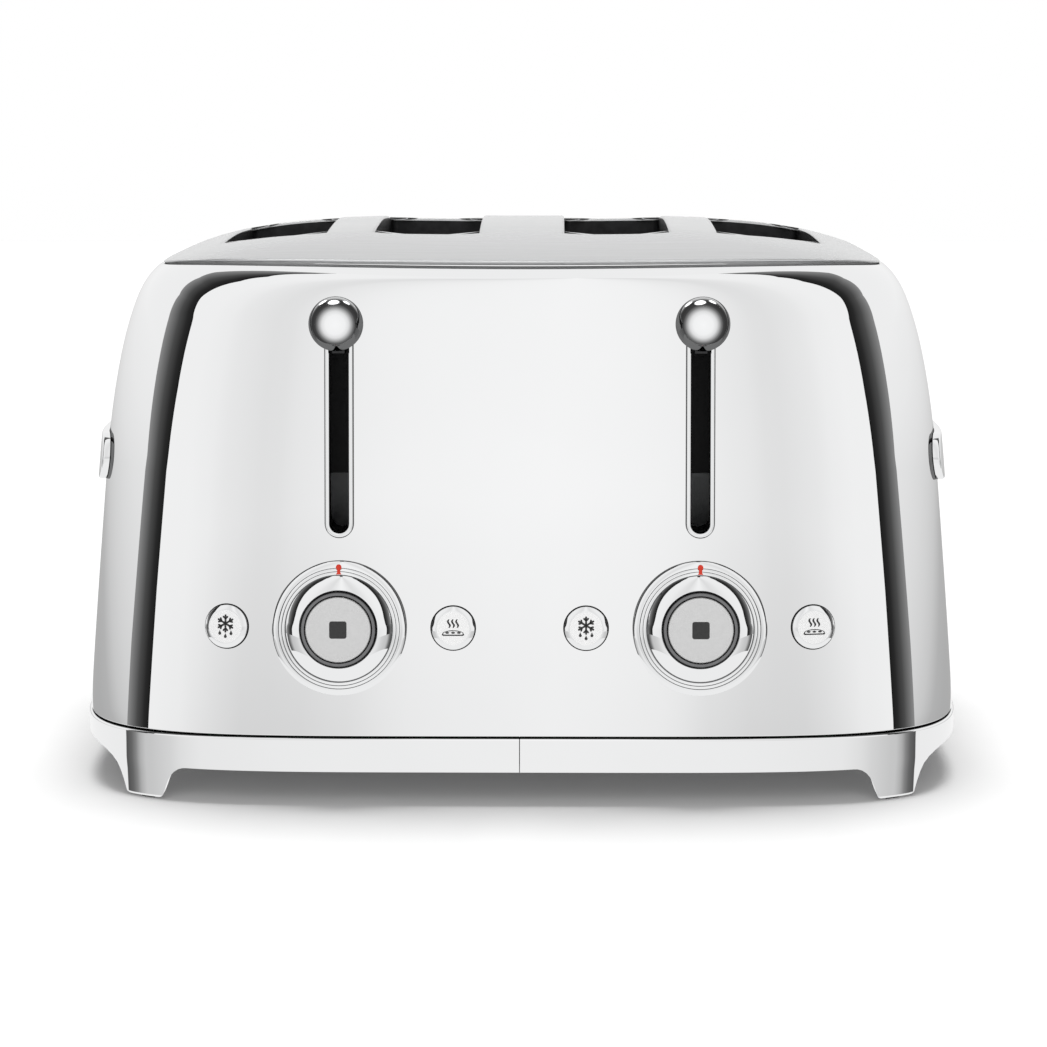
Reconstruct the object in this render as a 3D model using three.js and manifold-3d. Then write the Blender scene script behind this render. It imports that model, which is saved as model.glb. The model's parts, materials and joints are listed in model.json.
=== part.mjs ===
// A four-slice toaster with two side-by-side lift mechanisms, in millimetres.
// +Z is up, +X is to the right seen from the front, and the front faces -Y.
import * as THREE from "three";
import { mergeVertices } from "three/addons/utils/BufferGeometryUtils.js";
import Module from "manifold-3d";

const wasm = await Module();
wasm.setup();

// Overall body
const baseWidth = 332;
const baseDepth = 300;
const footClearance = 12.6;
const ringHeight = 12.4;
const shellHeight = 168.6;
const panelLip = 1.7;
const panelRise = 11;
const planExponent = 5;

// Clearances, walls and the overrun that every cut shares
const seat = 0.3;
const overrun = 1;
const shellWall = 1.2;
const sheetWall = 1.2;

// Body shell
const shellStep = 0.6;
const sideLean = 13.8;
const sideLeanExponent = 1.12;
const sideShoulderHeight = 73;
const sideShoulderDepth = 11.45;
const frontLean = 12.9;
const frontShoulderHeight = 18.7;
const frontShoulderDepth = 10.5;
const shoulderReachShare = 0.93;
const shellLand = 1;
const shellRowShares = [0, 0.4, 0.75, 0.888, 0.935, 0.97, 1];
const insideRowShares = [0, 0.6, 0.888, 0.96, 1];

// Top panel
const panelSkirt = 4;
const slotWidth = 39.6;
const slotLength = 140;
const slotCornerRadius = 5;
const slotGapShare = 0.1501;
const moduleGapShare = 0.2658;
const crownWidthExponent = 3.3;
const crownDepthExponent = 1.85;
const crownRowShares = [0.4, 0.62, 0.78, 0.9, 1];
const crownUnderRowShares = [0.62, 0.9, 1];

// Base ring, feet and pads
const ringWall = 4;
const ringBevel = 1;
const footWidth = 35;
const footDepth = 27;
const footPostExtra = 2;
const archRadius = 8.4;
const footTaper = 1;
const padHeight = 1.7;
const padInset = 1.4;

// Lever modules
const leverBallRadius = 9.7;
const leverBallGap = 0.6;
const leverNeckRadius = 3.2;
const leverSocketDepth = 5;
const leverNeckStart = 4;
const slotInnerWidth = 6.8;
const slotBelowShellTop = 14.1;
const slotAboveDial = 10.1;
const bezelFlange = 2;
const bezelThickness = 1.2;
const bezelSleeve = 1;
const bezelSleeveLength = 4;
const gateWall = 1.6;

// Carriage, racks and what guides them
const armWidth = 4.4;
const armBelow = 11.5;
const armAbove = 3;
const armTopGap = 1.6;
const armBottomGap = 0.8;
const carriageThickness = 2;
const crossbarHeight = 12;
const crossbarEnd = 3;
const rodOffset = 18;
const rodRadius = 2.5;
const bushWall = 2.2;
const bushLength = 8;
const bushWebWidth = 6;
const rodBracketDrop = 5;
const rodBracketThickness = 2;
const rodBracketHalfWidth = 7;
const springRadius = 3.5;
const springWireRadius = 0.6;
const springLugRise = 15;
const springLugThickness = 3;
const springLugHalfWidth = 4;
const magnetHalfWidth = 8;
const magnetDepth = 15;
const magnetStopGap = 0.6;
const rackBelowLever = 48;
const rackHeight = 8;
const rackThickness = 2.4;
const rackTongue = 3;
const finThickness = 2;
const finHeight = 3;
const finCount = 6;
const finEndGap = 1;
const finGuideGap = 0.7;
const rackSlitWidth = 4;

// Shares of the room between a slot's end and the shell, where the works stand
const chassisRoomShare = 0.2265;
const carriageRoomShare = 0.3964;
const rodRoomShare = 0.5473;
const gateRoomShare = 0.7927;
const chassisSideShare = 0.421;

// Chassis, heaters and bread guides
const chassisBelowShellTop = 2.5;
const plateThickness = 1.5;
const heaterThickness = 1.6;
const heaterAboveTray = 10;
const heaterBelowChassis = 8;
const heaterBesideSlot = 4.2;
const guideInsideSlot = 2.3;
const guideTravel = 7;
const guideWire = 1.6;
const guideRailHeight = 2.4;
const guideAboveHeater = 6;
const guideBelowChassis = 2;
const guideWireCount = 7;

// Crumb trays
const trayBesideSlot = 11.75;
const trayAboveRing = 5;
const trayLipHeight = 5;
const trayDoorHeight = 15;
const trayLedge = 12;
const trayFrontGap = 2.8;
const trayGripHeight = 2.4;
const trayGripDepth = 4;
const trayGripHalfWidth = 18;
const trayGripReachShare = 0.98;

// Controls
const controlAboveRing = 39.9;
const boardDistance = 20;
const boardThickness = 1.6;
const boardEndMargin = 9.25;
const boardBelowSlot = 8.2;
const dialRadius = 24.2;
const dialRimWidth = 4;
const dialGrooveWidth = 0.7;
const dialRimHeight = 4.4;
const dialHeight = 10.8;
const dialLipWidth = 0.6;
const dialConeExponent = 1.35;
const dialBack = 0.5;
const dialGroove = 0.5;
const hubRadius = 13.4;
const hubWall = 1.3;
const hubProud = 0.1;
const hubGap = 2;
const stopProud = 0.5;
const stopSkirt = 6;
const stopCrown = 0.5;
const stemRadius = 3;
const buttonTravel = 2;
const buttonOffset = 41;
const buttonRadius = 7.9;
const buttonHeight = 2.2;
const buttonSkirt = 6;
const buttonBevel = 1;

// Side badges and cord gland
const badgeHalfLength = 96;
const badgeHalfHeight = 8.7;
const badgeThickness = 2.9;
const badgeHeight = 120.8;
const glandAboveDoor = 15;
const glandFlangeRadius = 9;
const glandFlangeThickness = 2;
const glandFlangeBack = 0.5;
const glandBodyRadius = 6.7;
const glandBore = 3.6;
const glandLength = 8;

const sides = [
  { name: "left", sign: -1 },
  { name: "right", sign: 1 },
];

// Heights of the outer pieces
const ringBottom = footClearance;
const ringTop = ringBottom + ringHeight;
const shellBottom = ringTop + seat;
const shellTop = shellBottom + shellHeight;
const panelEdge = shellTop + panelLip;
const panelTop = panelEdge + panelRise;
const footBottom = padHeight + seat;
const footInnerX = baseWidth / 2 - footWidth;
const footInnerY = baseDepth / 2 - footDepth;
const footPostInnerY = footInnerY - footPostExtra;
const trayFloorZ = ringTop + trayAboveRing;
const trayDoorTop = trayFloorZ + trayDoorHeight;
const glandHeight = trayDoorTop + glandAboveDoor;
const controlHeight = ringTop + controlAboveRing;
const slotInnerTop = shellTop - slotBelowShellTop;
const slotInnerBottom = controlHeight + dialRadius + slotAboveDial;
const boardTop = slotInnerBottom - boardBelowSlot;

// The slots and gaps share the shell's width at its top
const spareWidth = 2 * bodyHalfWidth(shellTop) - 4 * slotWidth;
const slotPitch = slotWidth + slotGapShare * spareWidth;
const moduleX = (slotPitch + slotWidth + moduleGapShare * spareWidth) / 2;
const slotCentres = sides.flatMap(({ sign }) => [
  sign * moduleX - slotPitch / 2,
  sign * moduleX + slotPitch / 2,
]);
const crossbarReach = slotPitch / 2 + crossbarEnd;
const trayHalfWidth = slotPitch / 2 + trayBesideSlot;
const boardHalfWidth = moduleX + buttonOffset + boardEndMargin;

// The lift, from the lever at rest down to its magnet
const leverHeight = slotInnerTop - armTopGap - armAbove;
const armBottom = leverHeight - armBelow;
const armTop = leverHeight + armAbove;
const leverTravel = armBottom - armBottomGap - slotInnerBottom;
const rackTop = leverHeight - rackBelowLever;
const crossbarBottom = rackTop - crossbarHeight;
const springLugTop = rackTop + springLugRise;

// The toasting chamber and the works before it
const chassisBottom = ringBottom + 2 * seat + plateThickness + seat;
const chassisTop = shellTop - chassisBelowShellTop;
const room = bodyHalfDepth(chassisTop) - shellWall - slotLength / 2;
const chassisY = slotLength / 2 + chassisRoomShare * room;
const chassisInnerY = chassisY - sheetWall;
const carriagePlateY = slotLength / 2 + carriageRoomShare * room;
const rodY = slotLength / 2 + rodRoomShare * room;
const gateBack = slotLength / 2 + gateRoomShare * room;
const rodBracketHeight = chassisTop - rodBracketDrop;
const heaterBottom = trayFloorZ + heaterAboveTray;
const heaterTop = chassisTop - heaterBelowChassis;
const heaterPitch = (slotPitch + slotWidth) / 2 + heaterBesideSlot;
const heaterEdge = moduleX + heaterPitch;
const chassisHalfWidth = heaterEdge + chassisSideShare * (bodyHalfWidth(chassisTop) - heaterEdge);
const guideBottom = heaterBottom + guideAboveHeater;
const guideTop = chassisTop - guideBelowChassis;
const guideOpenOffset = slotWidth / 2 - guideInsideSlot;
const guideWirePitch = slotLength / guideWireCount;
const finHalfWidth = guideOpenOffset - guideTravel - guideWire / 2 - finGuideGap;
const finPitch = (slotLength - 2 * finEndGap) / finCount;

// The dial's rings, from its rim in to the stop button
const dialRimInner = dialRadius - dialRimWidth;
const dialConeFoot = dialRimInner - dialGrooveWidth;
const dialBore = hubRadius + seat;
const dialConeTop = dialBore + dialLipWidth;
const shellDialHole = hubRadius + hubGap;
const hubHeight = dialHeight + hubProud;
const stopRadius = hubRadius - hubWall - seat;
const stopHeight = hubHeight + stopProud;

// Steps round the body, round a lathed piece and round a small arc
const planSteps = 44;
const planCluster = 0.12;
const latheSteps = 24;
const smallSteps = 12;
const buttonSteps = 18;
const arcSteps = 4;
const mergeDistance = 1e-4;
const roundEndShare = 0.999;

const finishes = {
  mirror: { color: 0xe4e6e8, roughness: 0.08, metalness: 1 },
  satin: { color: 0xc9ccd0, roughness: 0.32, metalness: 1 },
  steel: { color: 0xa9acb0, roughness: 0.45, metalness: 1 },
  wire: { color: 0xd0d3d6, roughness: 0.2, metalness: 1 },
  mica: { color: 0xb8a98c, roughness: 0.8, metalness: 0 },
  black: { color: 0x111214, roughness: 0.5, metalness: 0 },
  grey: { color: 0xc6c8ca, roughness: 0.4, metalness: 0 },
  rubber: { color: 0x1c1c1d, roughness: 0.9, metalness: 0 },
  board: { color: 0x1f4a30, roughness: 0.6, metalness: 0 },
  magnet: { color: 0x6d5a3a, roughness: 0.5, metalness: 0.4 },
};

// Turns a closed three.js geometry into a solid that can be joined and cut.
function solid(geometry) {
  const bare = geometry.clone();
  bare.deleteAttribute("normal");
  bare.deleteAttribute("uv");
  const merged = mergeVertices(bare, mergeDistance);
  return new wasm.Manifold(
    new wasm.Mesh({
      numProp: 3,
      vertProperties: new Float32Array(merged.attributes.position.array),
      triVerts: new Uint32Array(merged.index.array),
    }),
  );
}

// Turns a solid back into a geometry for a mesh.
function geometryOf(made) {
  const raw = made.getMesh();
  const geometry = new THREE.BufferGeometry();
  geometry.setAttribute("position", new THREE.BufferAttribute(new Float32Array(raw.vertProperties), 3));
  geometry.setIndex(new THREE.BufferAttribute(new Uint32Array(raw.triVerts), 1));
  geometry.computeVertexNormals();
  return geometry;
}

// A box between two corners.
function block(x0, x1, y0, y1, z0, z1) {
  const geometry = new THREE.BoxGeometry(x1 - x0, y1 - y0, z1 - z0);
  geometry.translate((x0 + x1) / 2, (y0 + y1) / 2, (z0 + z1) / 2);
  return solid(geometry);
}

// A flat shape with depth, before it is turned to its direction.
function extruded(shape, depth) {
  return new THREE.ExtrudeGeometry(shape, { depth, bevelEnabled: false, curveSegments: arcSteps });
}

// A flat shape drawn in X and Z, run from y0 to y1.
function prismAlongY(shape, y0, y1) {
  const geometry = extruded(shape, y1 - y0);
  geometry.rotateX(Math.PI / 2);
  geometry.translate(0, y1, 0);
  return solid(geometry);
}

// A flat shape drawn in Y and Z, run from x0 to x1.
function prismAlongX(shape, x0, x1) {
  const geometry = extruded(shape, x1 - x0);
  geometry.rotateX(Math.PI / 2);
  geometry.rotateZ(Math.PI / 2);
  geometry.translate(x0, 0, 0);
  return solid(geometry);
}

// A flat shape drawn in X and Y, run from z0 to z1.
function prismAlongZ(shape, z0, z1) {
  const geometry = extruded(shape, z1 - z0);
  geometry.translate(0, 0, z0);
  return solid(geometry);
}

// An upright cylinder.
function post(x, y, radius, z0, z1) {
  const geometry = new THREE.CylinderGeometry(radius, radius, z1 - z0, smallSteps);
  geometry.rotateX(Math.PI / 2);
  geometry.translate(x, y, (z0 + z1) / 2);
  return solid(geometry);
}

function roundedRect(x0, x1, y0, y1, radius) {
  const shape = new THREE.Shape();
  shape.moveTo(x0 + radius, y0);
  shape.lineTo(x1 - radius, y0);
  shape.absarc(x1 - radius, y0 + radius, radius, -Math.PI / 2, 0);
  shape.lineTo(x1, y1 - radius);
  shape.absarc(x1 - radius, y1 - radius, radius, 0, Math.PI / 2);
  shape.lineTo(x0 + radius, y1);
  shape.absarc(x0 + radius, y1 - radius, radius, Math.PI / 2, Math.PI);
  shape.lineTo(x0, y0 + radius);
  shape.absarc(x0 + radius, y0 + radius, radius, Math.PI, 1.5 * Math.PI);
  return shape;
}

// A profile of radius and height turned about the axis of a placed frame.
function turned(profile, frame, steps) {
  const points = profile.map(([radius, height]) => new THREE.Vector2(radius, height));
  const geometry = new THREE.LatheGeometry(points, steps);
  geometry.applyMatrix4(frame);
  return solid(geometry);
}

function joined(pieces) {
  return pieces.reduce((sum, piece) => sum.add(piece));
}

// The plan outline: a rounded rectangle whose sides bow gently.
function planPoint(angle, halfWidth, halfDepth) {
  const across = Math.cos(angle);
  const along = Math.sin(angle);
  const sum = Math.abs(across / halfWidth) ** planExponent + Math.abs(along / halfDepth) ** planExponent;
  const reach = sum ** (-1 / planExponent);
  return [reach * across, reach * along];
}

// Steps lie closer together at the four corners.
function planAngle(step) {
  const turn = (step / planSteps) * 2 * Math.PI;
  return turn + planCluster * Math.sin(4 * turn);
}

// A closed solid through plan outlines stacked from the lowest to the highest.
function loft(sections) {
  const positions = [];
  const index = [];
  for (const { z, halfWidth, halfDepth } of sections) {
    for (let step = 0; step < planSteps; step++) {
      const [x, y] = planPoint(planAngle(step), halfWidth, halfDepth);
      positions.push(x, y, z);
    }
  }
  const low = positions.length / 3;
  positions.push(0, 0, sections[0].z);
  const high = positions.length / 3;
  positions.push(0, 0, sections[sections.length - 1].z);
  const lastRow = (sections.length - 1) * planSteps;
  for (let step = 0; step < planSteps; step++) {
    const next = (step + 1) % planSteps;
    index.push(low, next, step);
    index.push(high, lastRow + step, lastRow + next);
    for (let row = 0; row < lastRow; row += planSteps) {
      index.push(row + step, row + next, row + planSteps + next);
      index.push(row + step, row + planSteps + next, row + planSteps + step);
    }
  }
  const geometry = new THREE.BufferGeometry();
  geometry.setAttribute("position", new THREE.Float32BufferAttribute(positions, 3));
  geometry.setIndex(index);
  return solid(geometry);
}

// How far the rounded shoulder has turned inwards at a height.
function shoulder(z, height, depth) {
  const share = Math.max(0, (z - (shellTop - height)) / height) * shoulderReachShare;
  const full = 1 - Math.sqrt(1 - shoulderReachShare ** 2);
  return (depth * (1 - Math.sqrt(1 - Math.min(share, 1) ** 2))) / full;
}

function heightShare(z) {
  return Math.min(1, Math.max(0, (z - shellBottom) / shellHeight));
}

function bodyHalfWidth(z) {
  const lean = sideLean * heightShare(z) ** sideLeanExponent;
  return baseWidth / 2 - shellStep - lean - shoulder(z, sideShoulderHeight, sideShoulderDepth);
}

function bodyHalfDepth(z) {
  const lean = frontLean * heightShare(z);
  return baseDepth / 2 - shellStep - lean - shoulder(z, frontShoulderHeight, frontShoulderDepth);
}

// The body's outer form, grown outwards by a distance.
function bodyForm(grow) {
  return loft(
    shellRowShares.map((share) => {
      const z = shellBottom + share * shellHeight;
      return { z, halfWidth: bodyHalfWidth(z) + grow, halfDepth: bodyHalfDepth(z) + grow };
    }),
  );
}

// The space inside the shell, kept a distance off its inner face.
function bodyInside(clearance) {
  const wall = shellWall + clearance;
  const rows = insideRowShares.map((share) => {
    const z = shellBottom + share * shellHeight;
    return { z: z - wall, halfWidth: bodyHalfWidth(z) - wall, halfDepth: bodyHalfDepth(z) - wall };
  });
  return loft(rows);
}

// The depth of the front face at a place on it, and the direction it faces there.
function faceDepth(x, z) {
  const share = Math.abs(x / bodyHalfWidth(z)) ** planExponent;
  return -bodyHalfDepth(z) * (1 - share) ** (1 / planExponent);
}

function faceNormal(x, z) {
  const step = overrun;
  const slopeX = (faceDepth(x + step, z) - faceDepth(x - step, z)) / (2 * step);
  const slopeZ = (faceDepth(x, z + step) - faceDepth(x, z - step)) / (2 * step);
  return new THREE.Vector3(slopeX, -1, slopeZ).normalize();
}

// A frame whose own Y axis points out of the face.
function faceFrame(x, z, normal) {
  const turn = new THREE.Quaternion().setFromUnitVectors(new THREE.Vector3(0, 1, 0), normal);
  const place = new THREE.Vector3(x, faceDepth(x, z), z);
  return new THREE.Matrix4().compose(place, turn, new THREE.Vector3(1, 1, 1));
}

// The height of the top panel's upper face.
function crownHeight(x, y) {
  const halfWidth = bodyHalfWidth(shellTop);
  const halfDepth = bodyHalfDepth(shellTop);
  const across = Math.abs(x / halfWidth);
  const along = Math.abs(y / halfDepth);
  const share = (across ** planExponent + along ** planExponent) ** (1 / planExponent);
  if (share === 0) return panelTop;
  const here = across ** crownWidthExponent + along ** crownDepthExponent;
  const edge = (across / share) ** crownWidthExponent + (along / share) ** crownDepthExponent;
  return panelTop - (panelRise * here) / edge;
}

// The panel's upper face with a flat underside below it, down to a height.
function crownSolid(rowShares, drop, floorZ, inset) {
  const positions = [0, 0, panelTop - drop];
  const index = [];
  const halfWidth = bodyHalfWidth(shellTop) - inset;
  const halfDepth = bodyHalfDepth(shellTop) - inset;
  for (const share of rowShares) {
    for (let step = 0; step < planSteps; step++) {
      const [x, y] = planPoint(planAngle(step), share * halfWidth, share * halfDepth);
      positions.push(x, y, crownHeight(x, y) - drop);
    }
  }
  const rows = rowShares.length;
  const skirtStart = 1 + rows * planSteps;
  for (let step = 0; step < planSteps; step++) {
    const [x, y] = planPoint(planAngle(step), halfWidth, halfDepth);
    positions.push(x, y, floorZ);
  }
  const under = positions.length / 3;
  positions.push(0, 0, floorZ);
  for (let step = 0; step < planSteps; step++) {
    const next = (step + 1) % planSteps;
    index.push(0, 1 + step, 1 + next);
    for (let row = 0; row < rows - 1; row++) {
      const inner = 1 + row * planSteps;
      const outer = inner + planSteps;
      index.push(inner + step, outer + step, outer + next);
      index.push(inner + step, outer + next, inner + next);
    }
    const rim = 1 + (rows - 1) * planSteps;
    index.push(rim + step, skirtStart + step, skirtStart + next);
    index.push(rim + step, skirtStart + next, rim + next);
    index.push(under, skirtStart + next, skirtStart + step);
  }
  const geometry = new THREE.BufferGeometry();
  geometry.setAttribute("position", new THREE.Float32BufferAttribute(positions, 3));
  geometry.setIndex(index);
  return solid(geometry);
}

// An upright slot shape with round ends, for the levers.
function leverSlotShape(centreX, grow) {
  const half = slotInnerWidth / 2 + grow;
  const low = slotInnerBottom - grow;
  const high = slotInnerTop + grow;
  return roundedRect(centreX - half, centreX + half, low, high, half * roundEndShare);
}

function buttonPlaces() {
  return sides.flatMap(({ name, sign }) => [
    { kind: "defrost", name, x: sign * moduleX - buttonOffset },
    { kind: "reheat", name, x: sign * moduleX + buttonOffset },
  ]);
}

// The controls in the middle of each module face straight ahead, leaning back with the face.
const dialNormal = faceNormal(0, controlHeight);

const nodes = [];

function add(name, finish, made) {
  nodes.push({ name, finish, made });
}

// Body shell: one drawn steel wrap with every opening in it.
function bodyShell() {
  let made = bodyForm(0).subtract(bodyInside(0));
  const openWidth = bodyHalfWidth(shellTop) - shellLand;
  const openDepth = bodyHalfDepth(shellTop) - shellLand;
  made = made.subtract(
    loft([
      { z: shellTop - shellWall - overrun, halfWidth: openWidth, halfDepth: openDepth },
      { z: shellTop + overrun, halfWidth: openWidth, halfDepth: openDepth },
    ]),
  );
  for (const { sign } of sides) {
    const x = sign * moduleX;
    const hole = leverSlotShape(x, bezelSleeve + seat);
    made = made.subtract(prismAlongY(hole, -baseDepth / 2 - overrun, -gateBack));
    made = made.subtract(turned(rod(shellDialHole, boardDistance / 2), controlFrame(x), latheSteps));
    made = made.subtract(trayOpening(x, seat));
  }
  for (const { x } of buttonPlaces()) {
    const frame = faceFrame(x, controlHeight, faceNormal(x, controlHeight));
    made = made.subtract(turned(rod(buttonRadius + seat, boardDistance / 2), frame, buttonSteps));
  }
  return made.subtract(turned(rod(glandBodyRadius + seat, glandLength), glandFrame(), smallSteps));
}

// The profile of a plain round cutter, as long on each side of the face.
function rod(radius, reach) {
  return [
    [0, -reach],
    [radius, -reach],
    [radius, reach],
    [0, reach],
  ];
}

// Where a crumb tray's door goes through the back of the shell.
function trayOpening(x, clearance) {
  const half = trayHalfWidth + clearance;
  return block(
    x - half,
    x + half,
    chassisY + overrun,
    baseDepth / 2 + overrun,
    trayFloorZ - clearance,
    trayDoorTop + clearance,
  );
}

// Top panel: a crowned plate with a skirt inside the shell and a collar round each bread slot.
function topPanel() {
  const rimInset = shellLand + seat;
  const skirtBottom = shellTop - panelSkirt;
  const halfSlot = slotWidth / 2;
  const halfLength = slotLength / 2;
  const top = panelTop + overrun;
  const outer = crownSolid(crownRowShares, 0, skirtBottom, rimInset);
  let hollow = crownSolid(crownUnderRowShares, sheetWall, skirtBottom - overrun, rimInset + sheetWall);
  for (const x of slotCentres) {
    const wall = halfSlot + sheetWall;
    const reach = halfLength + sheetWall;
    const collar = roundedRect(x - wall, x + wall, -reach, reach, slotCornerRadius + sheetWall);
    hollow = hollow.subtract(prismAlongZ(collar, panelEdge, top));
  }
  let made = outer.subtract(hollow);
  for (const x of slotCentres) {
    const open = roundedRect(x - halfSlot, x + halfSlot, -halfLength, halfLength, slotCornerRadius);
    made = made.subtract(prismAlongZ(open, skirtBottom - overrun, top));
  }
  return made;
}

// The base ring with its corner feet, before it is split in two.
function baseRing() {
  const halfWidth = baseWidth / 2;
  const halfDepth = baseDepth / 2;
  const outer = loft([
    { z: footBottom, halfWidth: halfWidth - footTaper, halfDepth: halfDepth - footTaper },
    { z: ringBottom, halfWidth, halfDepth },
    { z: ringTop - ringBevel, halfWidth, halfDepth },
    { z: ringTop, halfWidth: halfWidth - ringBevel, halfDepth: halfDepth - ringBevel },
  ]);
  const inner = loft([
    { z: footBottom - overrun, halfWidth: halfWidth - ringWall, halfDepth: halfDepth - ringWall },
    { z: ringTop + overrun, halfWidth: halfWidth - ringWall, halfDepth: halfDepth - ringWall },
  ]);
  let made = outer.subtract(inner);
  for (const signX of [-1, 1]) {
    for (const signY of [-1, 1]) {
      const x = [signX * footInnerX, signX * halfWidth].sort((a, b) => a - b);
      const y = [signY * footPostInnerY, signY * halfDepth].sort((a, b) => a - b);
      const foot = block(x[0], x[1], y[0], y[1], footBottom - overrun, ringBottom + seat);
      made = made.add(outer.intersect(foot));
    }
  }
  const low = -overrun;
  made = made.subtract(prismAlongY(archShape(footInnerX, low), -halfDepth - overrun, halfDepth + overrun));
  return made.subtract(prismAlongX(archShape(footInnerY, low), -halfWidth - overrun, halfWidth + overrun));
}

// The gap between two feet: flat on top with a rounded corner at each foot.
function archShape(half, low) {
  const shape = new THREE.Shape();
  const spring = ringBottom - archRadius;
  shape.moveTo(-half, low);
  shape.lineTo(half, low);
  shape.lineTo(half, spring);
  shape.absarc(half - archRadius, spring, archRadius, 0, Math.PI / 2);
  shape.lineTo(-half + archRadius, ringBottom);
  shape.absarc(-half + archRadius, spring, archRadius, Math.PI / 2, Math.PI);
  return shape;
}

function footPad(signX, signY) {
  const inset = padInset + footTaper;
  const form = loft([
    { z: 0, halfWidth: baseWidth / 2 - inset, halfDepth: baseDepth / 2 - inset },
    { z: padHeight, halfWidth: baseWidth / 2 - inset, halfDepth: baseDepth / 2 - inset },
  ]);
  const x = [signX * (footInnerX + padInset), (signX * baseWidth) / 2].sort((a, b) => a - b);
  const y = [signY * (footInnerY + padInset), (signY * baseDepth) / 2].sort((a, b) => a - b);
  return form.intersect(block(x[0], x[1], y[0], y[1], -overrun, padHeight + overrun));
}

function bottomPlate() {
  const halfWidth = baseWidth / 2 - ringWall - seat;
  const halfDepth = baseDepth / 2 - ringWall - seat;
  const top = chassisBottom - seat;
  return loft([
    { z: top - plateThickness, halfWidth, halfDepth },
    { z: top, halfWidth, halfDepth },
  ]);
}

// A lever slot's bright trim: a flange on the face and a sleeve through the shell.
function leverBezel(x) {
  const ring = (grow) =>
    prismAlongY(leverSlotShape(x, grow), -baseDepth / 2 - overrun, -gateBack).subtract(
      prismAlongY(leverSlotShape(x, 0), -baseDepth / 2 - 2 * overrun, -gateBack + overrun),
    );
  const face = bodyForm(seat + bezelThickness);
  const flange = ring(bezelFlange).intersect(face).subtract(bodyForm(seat));
  const sleeve = ring(bezelSleeve).intersect(face).subtract(bodyForm(-bezelSleeveLength));
  return flange.add(sleeve);
}

// A black guide behind the slot that hides the works.
function leverGate(x) {
  const inner = bezelSleeve + seat;
  const front = -baseDepth / 2 - overrun;
  return prismAlongY(leverSlotShape(x, inner + gateWall), front, -gateBack)
    .subtract(prismAlongY(leverSlotShape(x, inner), front - overrun, -gateBack + overrun))
    .intersect(bodyInside(seat));
}

// Front wall of the toasting chamber, with the racks' slits and the rods' brackets.
function chassisFrontPlate() {
  const half = chassisHalfWidth;
  let made = block(-half, half, -chassisY, -chassisInnerY, chassisBottom, chassisTop);
  for (const x of slotCentres) {
    made = made.subtract(rackSlit(x, -chassisY - overrun, -chassisInnerY + overrun));
  }
  for (const { sign } of sides) {
    const x = sign * moduleX;
    for (const offset of [-rodOffset, rodOffset]) {
      made = made.add(
        block(
          x + offset - rodBracketHalfWidth,
          x + offset + rodBracketHalfWidth,
          -rodY - rodBracketHalfWidth,
          -chassisInnerY,
          rodBracketHeight,
          rodBracketHeight + rodBracketThickness,
        ),
      );
    }
    made = made.add(
      block(
        x - trayHalfWidth,
        x + trayHalfWidth,
        -chassisY,
        -chassisInnerY + trayLedge,
        trayFloorZ - seat - sheetWall,
        trayFloorZ - seat,
      ),
    );
  }
  return made;
}

function chassisRearPlate() {
  const halfWidth = chassisHalfWidth;
  let made = block(-halfWidth, halfWidth, chassisInnerY, chassisY, chassisBottom, chassisTop);
  for (const x of slotCentres) {
    made = made.subtract(rackSlit(x, chassisInnerY - overrun, chassisY + overrun));
  }
  for (const { sign } of sides) {
    const x = sign * moduleX;
    const half = trayHalfWidth + seat;
    const top = trayFloorZ + sheetWall + trayLipHeight + overrun;
    made = made.subtract(
      block(x - half, x + half, chassisInnerY - overrun, chassisY + overrun, trayFloorZ - seat, top),
    );
  }
  return made;
}

// The upright slit that a rack's blade runs in.
function rackSlit(x, y0, y1) {
  const half = rackSlitWidth / 2;
  const low = rackTop - rackHeight - leverTravel - overrun;
  return block(x - half, x + half, y0, y1, low, rackTop + overrun);
}

function heaterBoard(x) {
  const half = heaterThickness / 2;
  const reach = chassisInnerY - seat;
  return block(x - half, x + half, -reach, reach, heaterBottom, heaterTop);
}

// A wire guide that leans on the bread: two rails and upright wires.
function breadGuide(x) {
  const half = guideWire / 2;
  const reach = chassisInnerY - seat;
  const pieces = [
    block(x - half, x + half, -reach, reach, guideBottom, guideBottom + guideRailHeight),
    block(x - half, x + half, -reach, reach, guideTop - guideRailHeight, guideTop),
  ];
  for (let wire = 0; wire < guideWireCount; wire++) {
    const y = (wire - (guideWireCount - 1) / 2) * guideWirePitch;
    const low = guideBottom + guideRailHeight / 2;
    const high = guideTop - guideRailHeight / 2;
    pieces.push(block(x - half, x + half, y - half, y + half, low, high));
  }
  return joined(pieces);
}

// A rack that carries one slice: a blade on edge with short fins across its top.
function breadRack(x) {
  const half = rackThickness / 2;
  const front = -carriagePlateY + seat;
  const pieces = [block(x - half, x + half, front, chassisY + rackTongue, rackTop - rackHeight, rackTop)];
  for (let fin = 0; fin < finCount; fin++) {
    const y0 = (fin - (finCount - 1) / 2) * finPitch - finThickness / 2;
    const low = rackTop - finHeight;
    pieces.push(block(x - finHalfWidth, x + finHalfWidth, y0, y0 + finThickness, low, rackTop));
  }
  return joined(pieces);
}

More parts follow.
